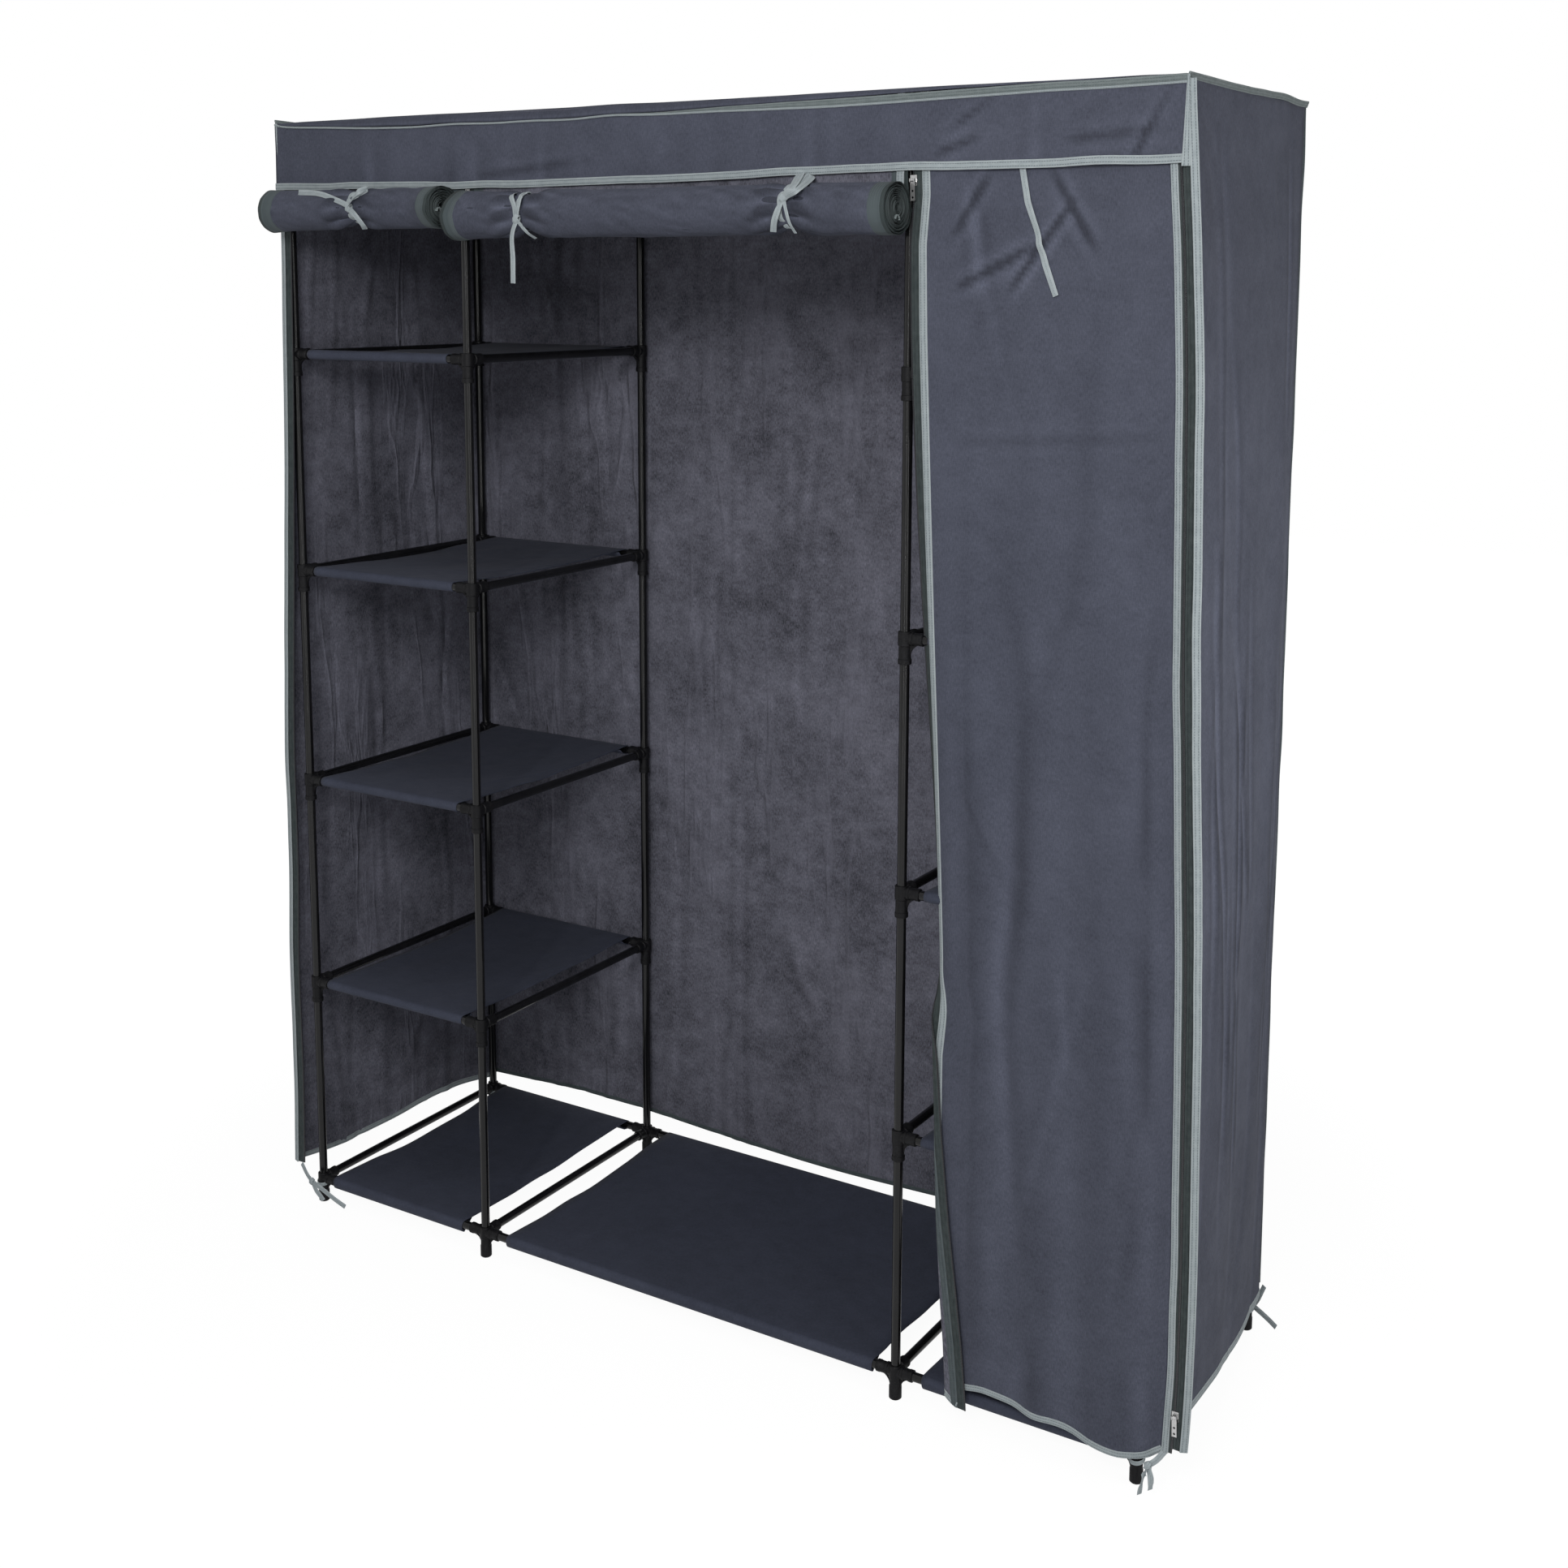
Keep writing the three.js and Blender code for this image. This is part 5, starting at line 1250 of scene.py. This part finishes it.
def rollRadius(roll, x, angle, radius):
    # squeezed at each tie as exp(-(distance / reach)^2), more from below than from above; pleats
    # radiate from the tie as sin(7 angle + drift), and the ends flare
    d = rollDetail
    outer = limited(radius / roll["radius"])**3
    squeeze, pleats = 0, 0
    for tie, depth in roll["ties"]:
        away = np.abs(x - tie)
        squeeze = squeeze + depth * np.exp(-(away / d["reach"])**2)
        near = np.exp(-((away - d["pleatFrom"]) / d["pleatReach"])**2)
        pleats = pleats + near * np.sin(7 * angle + 40 * away + 3 * np.sign(x - tie) + roll["seed"])
    weight = 0.78 + 0.32 * np.sin(angle)
    flare = sum(size * np.exp(-((x - roll[end]) / d["flareReach"])**2)
                for size, end in zip(roll["flares"], ("low", "high")))
    slack = (smoothNoise(angle * 1.1 + x * 6, x * 14, roll["seed"])
             + 0.6 * smoothNoise(angle * 3, x * 40 + angle, roll["seed"] + 1))
    return (radius * (1 - squeeze * weight + flare)
            + (d["loose"] * slack * 0.7 + d["pleat"] * pleats - 0.0008) * outer)


def rollColumns(roll):
    # from each end: the zip's tape in two columns, the binding in two, then the cloth
    tape, band = rollDetail["tape"], roll["band"]
    edge = np.array([0, tape / 2, tape, tape + band / 2])
    inner = np.linspace(roll["low"] + tape + band, roll["high"] - tape - band, roll["columns"] - 8)
    return np.concatenate([roll["low"] + edge, inner, roll["high"] - edge[::-1]])


def woundCloth(roll, angle, spiral, x):
    # a row for each angle round the axis: y = axis + r cos(angle), z = axis - r sin(angle), where
    # r is the spiral's radius there with its squeeze and pleats
    aa, xx = np.meshgrid(angle, x, indexing="ij")
    rr = rollRadius(roll, xx, aa, spiral[:, None])
    nearRight = ease(1 + (xx - roll["high"]) / rollDetail["bendReach"])
    nearLeft = ease(1 - (xx - roll["low"]) / rollDetail["bendReach"])
    shift = rollDetail["shift"] * smoothNoise(aa * 0.5, xx * 3, roll["seed"] + 2) * limited(aa / 6)
    # the upper part of the left end lies further in, and the right end is cut at a slant
    shift = shift + roll["lean"] * np.maximum(-rr * np.sin(aa), 0) * nearLeft
    shift = shift + roll["tilt"] * rr * np.cos(aa) * nearRight
    return pointsAt(xx + shift, rollAxisY(roll, xx) + rr * np.cos(aa), roll["axisZ"] - rr * np.sin(aa))


def hangingCloth(roll, x, meet):
    # straight down behind the valance, and below its hem forward to the roll as (way down)^1.5
    hem = cover["valanceHem"]
    rows = np.concatenate([np.linspace(top - 0.001, hem, 8), np.linspace(hem, roll["axisZ"], 8)[1:-1]])
    zz, xx = np.meshgrid(rows, x, indexing="ij")
    fall = limited((hem - zz) / (hem - roll["axisZ"]))**1.5
    return pointsAt(xx, (cover["front"] - rollDetail["hang"]) * (1 - fall) + meet * fall, zz)


def buildRoll(label, roll):
    # the cloth winds inward: its radius falls by one pitch a turn, where the pitch is what a
    # flap of this length needs; the first turn has more rows than the others
    d, radius = rollDetail, roll["radius"]
    pitch = math.pi * (radius**2 - d["core"]**2) / roll["length"]
    turns = (radius - d["core"]) / pitch
    innerRows = int((turns - 1.15) * d["perTurn"])
    angle = np.concatenate([np.linspace(0, 2.3 * np.pi, d["outer"]),
                            np.linspace(2.34 * np.pi, 2 * np.pi * turns, innerRows)])
    x = rollColumns(roll)
    wound = woundCloth(roll, angle, radius - pitch * angle / (2 * np.pi), x)
    part = clothPart(np.concatenate([hangingCloth(roll, x, wound[0, :, 1]), wound])[:, ::-1])
    # the binding's columns take the binding tape painted in deep shade
    columnSlots = np.zeros(len(x) - 1, int)
    columnSlots[[2, 3, -3, -4]] = 2
    columnSlots[[0, 1, -1, -2]] = 4
    part["slot"] = np.broadcast_to(columnSlots, (len(part["grid"]) - 1, len(x) - 1)).ravel()
    materials = [coverCloth, feltInside, deepShadeBinding, deepShadeBinding, zipTape, zipTape]
    rolled = buildPiece(f"{label}_rolled_cloth", [part], materials, replaces=[f"{label}_rolled_flap"])
    thicken(rolled, d["thickness"])
    # the stiff start of the roll shows as a short curl of binding in the middle of its end, painted in half
    # shade
    turn = np.linspace(-0.4, 3.2, 20)
    curlY, curlZ = roll["curlAt"]
    curl = pointsAt(roll["high"] - d["curlIn"], curlY + d["curl"] * np.cos(turn),
                    curlZ + d["curl"] * np.sin(turn))
    curlPart = strip(curl, (1, 0, 0), d["curlWidth"], d["curlThickness"])
    return rolled, buildPiece(f"{label}_roll_core", [curlPart], [halfShadeBinding])


rolledPieces, rollCores = {}, {}
for label, roll in rolls.items():
    rolledPieces[label], rollCores[label] = buildRoll(label, roll)
    print(label, "flap rolled up")

# what shows of the divider zip and of the middle flap's right binding, above the rolls
dividerZ = np.linspace(zipper["top"], rolls["left"]["axisZ"], 30)
dividerEdge = pointsAt(-0.3580, cover["front"] + 0.0024, dividerZ)
dividerZip = buildPiece("divider_zip", zipHalf(dividerEdge, (1, 0, 0)), [zipTape, zipChain])
middleEdge = pointsAt(0.3585, cover["front"] - 0.0022, np.linspace(zipper["top"], 1.634, 20))
middleStub = buildPiece("middle_flap_binding", [edgeStrip(middleEdge, (1, 0, 0))], [bindingTape])


# ribbon ties

ribbon = {"width": 0.0078, "thickness": 0.0007, "narrow": 0.0045, "columns": 8, "off": 0.0009}


def ribbonStrip(path, across, width=ribbon["width"], loop=False):
    # a flat ribbon carried along the path, open or closed to a loop
    return strip(path, across, width, ribbon["thickness"], 0, ribbon["columns"], loop=loop)


def ribbonAlong(points, across, count=48, width=ribbon["width"]):
    # across is one direction, or one for each stretch of the way
    sides = smoothThrough(across, count) if np.ndim(across) == 2 else across
    return ribbonStrip(smoothThrough(points, count), sides, width)


def ribbonRound(roll, x, slant=0.0):
    # a loop that hugs the squeezed roll: its radius is the cloth's, and slant x cos(angle) leans it
    angle = np.linspace(0, 2 * np.pi, 72, endpoint=False)
    radius = rollRadius(roll, x, angle, roll["radius"]) + ribbon["off"]
    return ribbonStrip(pointsAt(x + slant * np.cos(angle), rollAxisY(roll, x) + radius * np.cos(angle),
                                roll["axisZ"] - radius * np.sin(angle)), (1, 0, 0), loop=True)


def knot(place, size=0.0062, thickness=0.0016):
    # two short bands crossed over each other, each a closed oval: cos(t) along the band and
    # 0.55 sin(t) out from the cloth
    t = np.linspace(0, np.pi * 2, 28, endpoint=False)
    parts = []
    for turn, scale in ((0.5, 1.0), (-0.7, 0.8)):
        along = np.array([math.sin(turn), 0, math.cos(turn)])
        ring = np.outer(np.cos(t), along) * size * scale + np.outer(np.sin(t), [0, -1, 0]) * size * 0.55
        across = np.cross(along, [0, 1, 0])
        parts.append(strip(place + ring, across, size * 1.1, thickness, 0, ribbon["columns"], loop=True))
    return parts


def onRoll(roll, *places):
    # points before the roll's front face; a place is x, height and the way off the cloth
    points = []
    for x, z, lift in places:
        rise = np.clip((z - roll["axisZ"]) / roll["radius"], -0.98, 0.98)
        radius = rollRadius(roll, x, np.pi, roll["radius"])
        points.append((x, float(rollAxisY(roll, x) - radius * math.sqrt(1 - rise**2) - lift), z))
    return points


left, mid = rolls["left"], rolls["middle"]
leftTie = [
    ribbonRound(left, -0.528),
    ribbonAlong(onRoll(left, (-0.524, 1.621, 0.004), (-0.548, 1.630, 0.005), (-0.585, 1.640, 0.003),
                       (-0.632, 1.643, 0.002)), (0.25, 0.1, 1)),
    ribbonAlong(onRoll(left, (-0.524, 1.620, 0.005), (-0.510, 1.633, 0.010), (-0.492, 1.645, 0.008),
                       (-0.500, 1.640, 0.014), (-0.520, 1.624, 0.008)), (0.5, 0.3, 1)),
    ribbonAlong(onRoll(left, (-0.524, 1.618, 0.004), (-0.508, 1.606, 0.006), (-0.502, 1.594, 0.005),
                       (-0.506, 1.588, 0.004)), (1, 0.2, 0.3)),
] + knot(onRoll(left, (-0.524, 1.619, 0.004))[0])
buildPiece("left_roll_ribbon", leftTie, [tieRibbon], replaces=["left_roll_tie"])

hemFront = cover["valanceFront"] - 0.0045
middleLeftTie = [
    ribbonRound(mid, -0.2065),
    ribbonAlong(onRoll(mid, (-0.205, 1.597, 0.004))
                + [(-0.207, -0.300, 1.575), (-0.2065, -0.2995, 1.545), (-0.2080, -0.298, 1.511)],
                [(1, 0, 0), (1, -0.1, 0), (1, 0.15, 0), (1, 0.1, 0)]),
    ribbonAlong(onRoll(mid, (-0.204, 1.598, 0.005), (-0.198, 1.590, 0.004), (-0.191, 1.579, 0.002),
                       (-0.188, 1.572, 0.0012)), (1, 0.1, 0.3), width=ribbon["narrow"]),
    ribbonAlong([(-0.244, hemFront, 1.636)]
                + onRoll(mid, (-0.217, 1.630, 0.004), (-0.208, 1.614, 0.004), (-0.206, 1.599, 0.004)),
                (1, 0, 0.3)),
    ribbonAlong([(-0.226, hemFront, 1.637)]
                + onRoll(mid, (-0.200, 1.630, 0.005), (-0.200, 1.614, 0.005), (-0.204, 1.599, 0.005)),
                (1, 0, -0.2), width=0.006),
] + knot(onRoll(mid, (-0.2046, 1.598, 0.004))[0])
buildPiece("middle_left_ribbon", middleLeftTie, [tieRibbon], replaces=["middle_roll_left_tie"])

middleRightTie = [
    ribbonRound(mid, 0.222, 0.004),
    ribbonAlong(onRoll(mid, (0.225, 1.619, 0.004), (0.235, 1.631, 0.006))
                + [(0.214, hemFront, 1.649), (0.222, hemFront - 0.004, 1.650)]
                + onRoll(mid, (0.241, 1.632, 0.008), (0.227, 1.621, 0.006)), (1, 0.2, 0.2), 60),
    ribbonAlong(onRoll(mid, (0.226, 1.619, 0.005), (0.244, 1.630, 0.007))
                + [(0.230, hemFront - 0.002, 1.648), (0.238, hemFront - 0.006, 1.645)]
                + onRoll(mid, (0.250, 1.629, 0.006), (0.228, 1.619, 0.006)), (1, 0.2, -0.4), 60),
    ribbonAlong(onRoll(mid, (0.225, 1.618, 0.004), (0.220, 1.604, 0.006), (0.213, 1.590, 0.004),
                       (0.206, 1.577, 0.003)), (1, 0.1, 0.45)),
    ribbonAlong(onRoll(mid, (0.226, 1.618, 0.004), (0.231, 1.604, 0.003), (0.234, 1.588, 0.002),
                       (0.236, 1.575, 0.0015)), (1, 0.1, -0.15), width=ribbon["narrow"]),
] + knot(onRoll(mid, (0.2255, 1.619, 0.004))[0])
buildPiece("middle_right_ribbon", middleRightTie, [tieRibbon], replaces=["middle_roll_right_tie"])

# the open tie hangs from under the valance on to the flap's folds
openTie = {"heights": (1.499, 1.535, 1.575, 1.609, 1.655), "x": (0.572, 0.558, 0.546, 0.533, 0.524),
           "across": [(1, 0, 0.1), (1, 0.1, 0.1), (1, -0.2, 0.1), (1, 0.15, 0.2), (1, -0.1, 0.2)],
           "off": 0.0030, "rows": 50}
tieZ = np.linspace(openTie["heights"][-1], openTie["heights"][0], openTie["rows"])
tieX = np.interp(tieZ, openTie["heights"], openTie["x"])
tieT = (tieX - flapLeft(tieZ)) / flapWidth(tieZ)
tiePath = flapPoint(tieT, (tieZ - flapHem(tieT)) / (top - flapHem(tieT)), openTie["off"])
openRibbon = ribbonStrip(tiePath, smoothThrough(openTie["across"], openTie["rows"]))
flapTie = buildPiece("right_flap_ribbon", [openRibbon], [tieRibbon], replaces=["right_flap_tie"])

# each foot tie: its post's column and row, where it leaves the cover, and its two tails
footTies = {
    "front_left": {
        "post": (0, -1), "from": (-0.751, -0.2285, 0.060),
        "tails": [[(-0.714, -0.243, 0.044), (-0.703, -0.246, 0.034), (-0.695, -0.244, 0.024),
                   (-0.689, -0.243, 0.017)],
                  [(-0.714, -0.243, 0.044), (-0.690, -0.247, 0.040), (-0.660, -0.246, 0.028),
                   (-0.640, -0.243, 0.019)]],
    },
    "front_right": {
        "post": (3, -1), "from": (0.758, -0.2285, 0.066),
        "tails": [[(0.740, -0.243, 0.046), (0.737, -0.247, 0.033), (0.733, -0.246, 0.018),
                   (0.731, -0.245, 0.005)],
                  [(0.740, -0.243, 0.046), (0.745, -0.246, 0.036), (0.746, -0.246, 0.026),
                   (0.745, -0.245, 0.016)]],
    },
    "back_left": {
        "post": (0, 1), "from": (-0.736, 0.2275, 0.066),
        "tails": [[(-0.716, 0.228, 0.034), (-0.706, 0.233, 0.022), (-0.700, 0.235, 0.008)],
                  [(-0.716, 0.228, 0.034), (-0.735, 0.232, 0.022), (-0.744, 0.236, 0.012)]],
    },
    "back_right": {
        "post": (3, 1), "from": (0.736, 0.2275, 0.066),
        "tails": [[(0.722, 0.222, 0.034), (0.745, 0.214, 0.026), (0.762, 0.206, 0.020)],
                  [(0.716, 0.228, 0.034), (0.708, 0.233, 0.022), (0.700, 0.235, 0.010)]],
    },
}
footLoop = {"radius": 0.0105, "z": 0.034, "slant": 0.003, "width": 0.006, "sag": 0.003, "knot": 0.0055}
around = np.linspace(0, 2 * np.pi, 40, endpoint=False)
for corner, tie in footTies.items():
    column, row = tie["post"]
    ring = pointsAt(postX[column] + footLoop["radius"] * np.cos(around),
                    row * postY + footLoop["radius"] * np.sin(around),
                    footLoop["z"] + footLoop["slant"] * np.sin(around))
    start = np.array(tie["tails"][0][0])
    between = (tie["from"] + start) / 2 - [0, 0, footLoop["sag"]]
    parts = [ribbonStrip(ring, (0, 0, 1), footLoop["width"], loop=True),
             ribbonAlong([tie["from"], between, start], (0, 0.3, 1), 24)]
    parts += [ribbonAlong(tail, (0.3, 0.2, 1), 30) for tail in tie["tails"]] + knot(start, footLoop["knot"])
    buildPiece(f"{corner}_foot_ribbon", parts, [tieRibbon], replaces=[f"{corner}_foot_tie"])
print("ties knotted")


# sliders and pulls keep their solids

for name in ("left_corner", "divider", "right_flap", "right_corner"):
    for kind in ("slider", "pull"):
        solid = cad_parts[f"{name}_zip_{kind}"]
        solid.data.materials.clear()
        solid.data.materials.append(zipNickel)


# the right flap, its bindings, its zips and its tie each get a mesh of their own

for piece in (rightFlap, flapBindings, flapZips, flapTie):
    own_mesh(piece)


# floor, lights and camera

def brightToCamera(tree):
    # camera and glass rays see plain white, mirror rays a light grey, and other rays see the
    # surface's own light
    rays = putNode(tree, "ShaderNodeLightPath").outputs
    mirrored = calculate(tree, "MULTIPLY", rays["Is Glossy Ray"], 0.6)
    seen = calculate(tree, "MAXIMUM", rays["Is Camera Ray"], mirrored)
    return calculate(tree, "MAXIMUM", seen, rays["Is Transmission Ray"])


paper = bpy.data.materials.new("paperFloor")
paper.use_nodes = True
tree = paper.node_tree
diffuse = tree.nodes["Principled BSDF"]
diffuse.inputs["Base Color"].default_value = (0.82, 0.82, 0.82, 1)
diffuse.inputs["Roughness"].default_value = 0.9
glow = putNode(tree, "ShaderNodeEmission", {"Color": (1, 1, 1, 1), "Strength": 1.06})
# near the wardrobe a tenth of the floor's own light shows, so its shadow is kept
spot = putNode(tree, "ShaderNodeTexCoord").outputs["Object"]
fromMiddle = putNode(tree, "ShaderNodeVectorMath", {0: spot}, operation="LENGTH").outputs["Value"]
glowShare = remap(tree, fromMiddle, 1.0, 2.4, 0.90, 1.0)
glowing = calculate(tree, "MULTIPLY", brightToCamera(tree), glowShare)
blend = putNode(tree, "ShaderNodeMixShader", {0: glowing, 1: diffuse.outputs[0], 2: glow.outputs[0]})
tree.links.new(blend.outputs[0], tree.nodes["Material Output"].inputs["Surface"])
floorMesh = bpy.data.meshes.new("floor")
floorHalf = 9.0
floorCorners = [(x * floorHalf, y * floorHalf, 0) for x, y in ((-1, -1), (1, -1), (1, 1), (-1, 1))]
floorMesh.from_pydata(floorCorners, [], [(0, 1, 2, 3)])
floorMesh.materials.append(paper)
floor = bpy.data.objects.new("floor", floorMesh)
bpy.context.scene.collection.objects.link(floor)

world = bpy.data.worlds.new("studio")
bpy.context.scene.world = world
world.use_nodes = True
tree = world.node_tree
sky = tree.nodes["Background"]
strength = remap(tree, brightToCamera(tree), 0, 1, 0.29, 1.0)
tree.links.new(strength, sky.inputs["Strength"])
sky.inputs["Color"].default_value = (1, 1, 1, 1)


def aimed(place, away, roll=0.0):
    # the object looks along -away; its side is level before it is rolled
    side = unit(np.cross([0, 0, 1.0], away))
    upward = np.cross(away, side)
    turn = np.eye(4)
    turn[:3, 0] = side * math.cos(roll) + upward * math.sin(roll)
    turn[:3, 1] = upward * math.cos(roll) - side * math.sin(roll)
    turn[:3, 2], turn[:3, 3] = away, place
    return Matrix(turn.tolist())


lamps = {
    "key": {"place": (1.05, -2.55, 2.35), "aim": (0.0, 0.0, 1.15), "size": (1.0, 0.8), "power": 37},
    "sideFill": {"place": (1.62, -0.05, 1.05), "aim": (0.76, 0.0, 1.04), "size": (0.4, 0.4), "power": 4.4},
    "above": {"place": (0.2, -1.2, 4.4), "aim": (0.0, 0.0, 0.8), "size": (2.2, 2.2), "power": 18},
    "leftStrip": {"place": (0.9, -3.3, 1.1), "aim": (0.0, 0.0, 1.0), "size": (0.06, 2.6), "power": 9},
    "rightStrip": {"place": (3.1, -1.9, 1.1), "aim": (0.0, 0.0, 1.0), "size": (0.06, 2.6), "power": 9},
}
for name, lamp in lamps.items():
    light = bpy.data.lights.new(name, "AREA")
    light.shape, light.energy = "RECTANGLE", lamp["power"]
    light.size, light.size_y = lamp["size"]
    holder = bpy.data.objects.new(name, light)
    bpy.context.scene.collection.objects.link(holder)
    holder.matrix_world = aimed(lamp["place"], unit(np.subtract(lamp["place"], lamp["aim"])))

# degrees, metres, and pixels of the photo for the focal length and the level row
photo = {"azimuth": 31.821, "elevation": 8.526, "roll": 0.200, "place": (1.5226, -2.3775, 1.5178),
         "focal": 2374.5, "middleRow": 700, "size": 1932, "sensor": 36.0}
azimuth, elevation, roll = (math.radians(photo[key]) for key in ("azimuth", "elevation", "roll"))
outward = math.cos(elevation)
away = np.array([math.sin(azimuth) * outward, -math.cos(azimuth) * outward, math.sin(elevation)])
camera = bpy.data.objects.new("camera", bpy.data.cameras.new("camera"))
bpy.context.scene.collection.objects.link(camera)
camera.matrix_world = aimed(photo["place"] + middle, away, roll)
camera.data.sensor_width = photo["sensor"]
camera.data.lens = photo["focal"] / photo["size"] * photo["sensor"]
camera.data.shift_y = (photo["middleRow"] - photo["size"] / 2) / photo["size"]
bpy.context.scene.camera = camera
bpy.context.scene.view_settings.view_transform = "Standard"

print("scene ready")
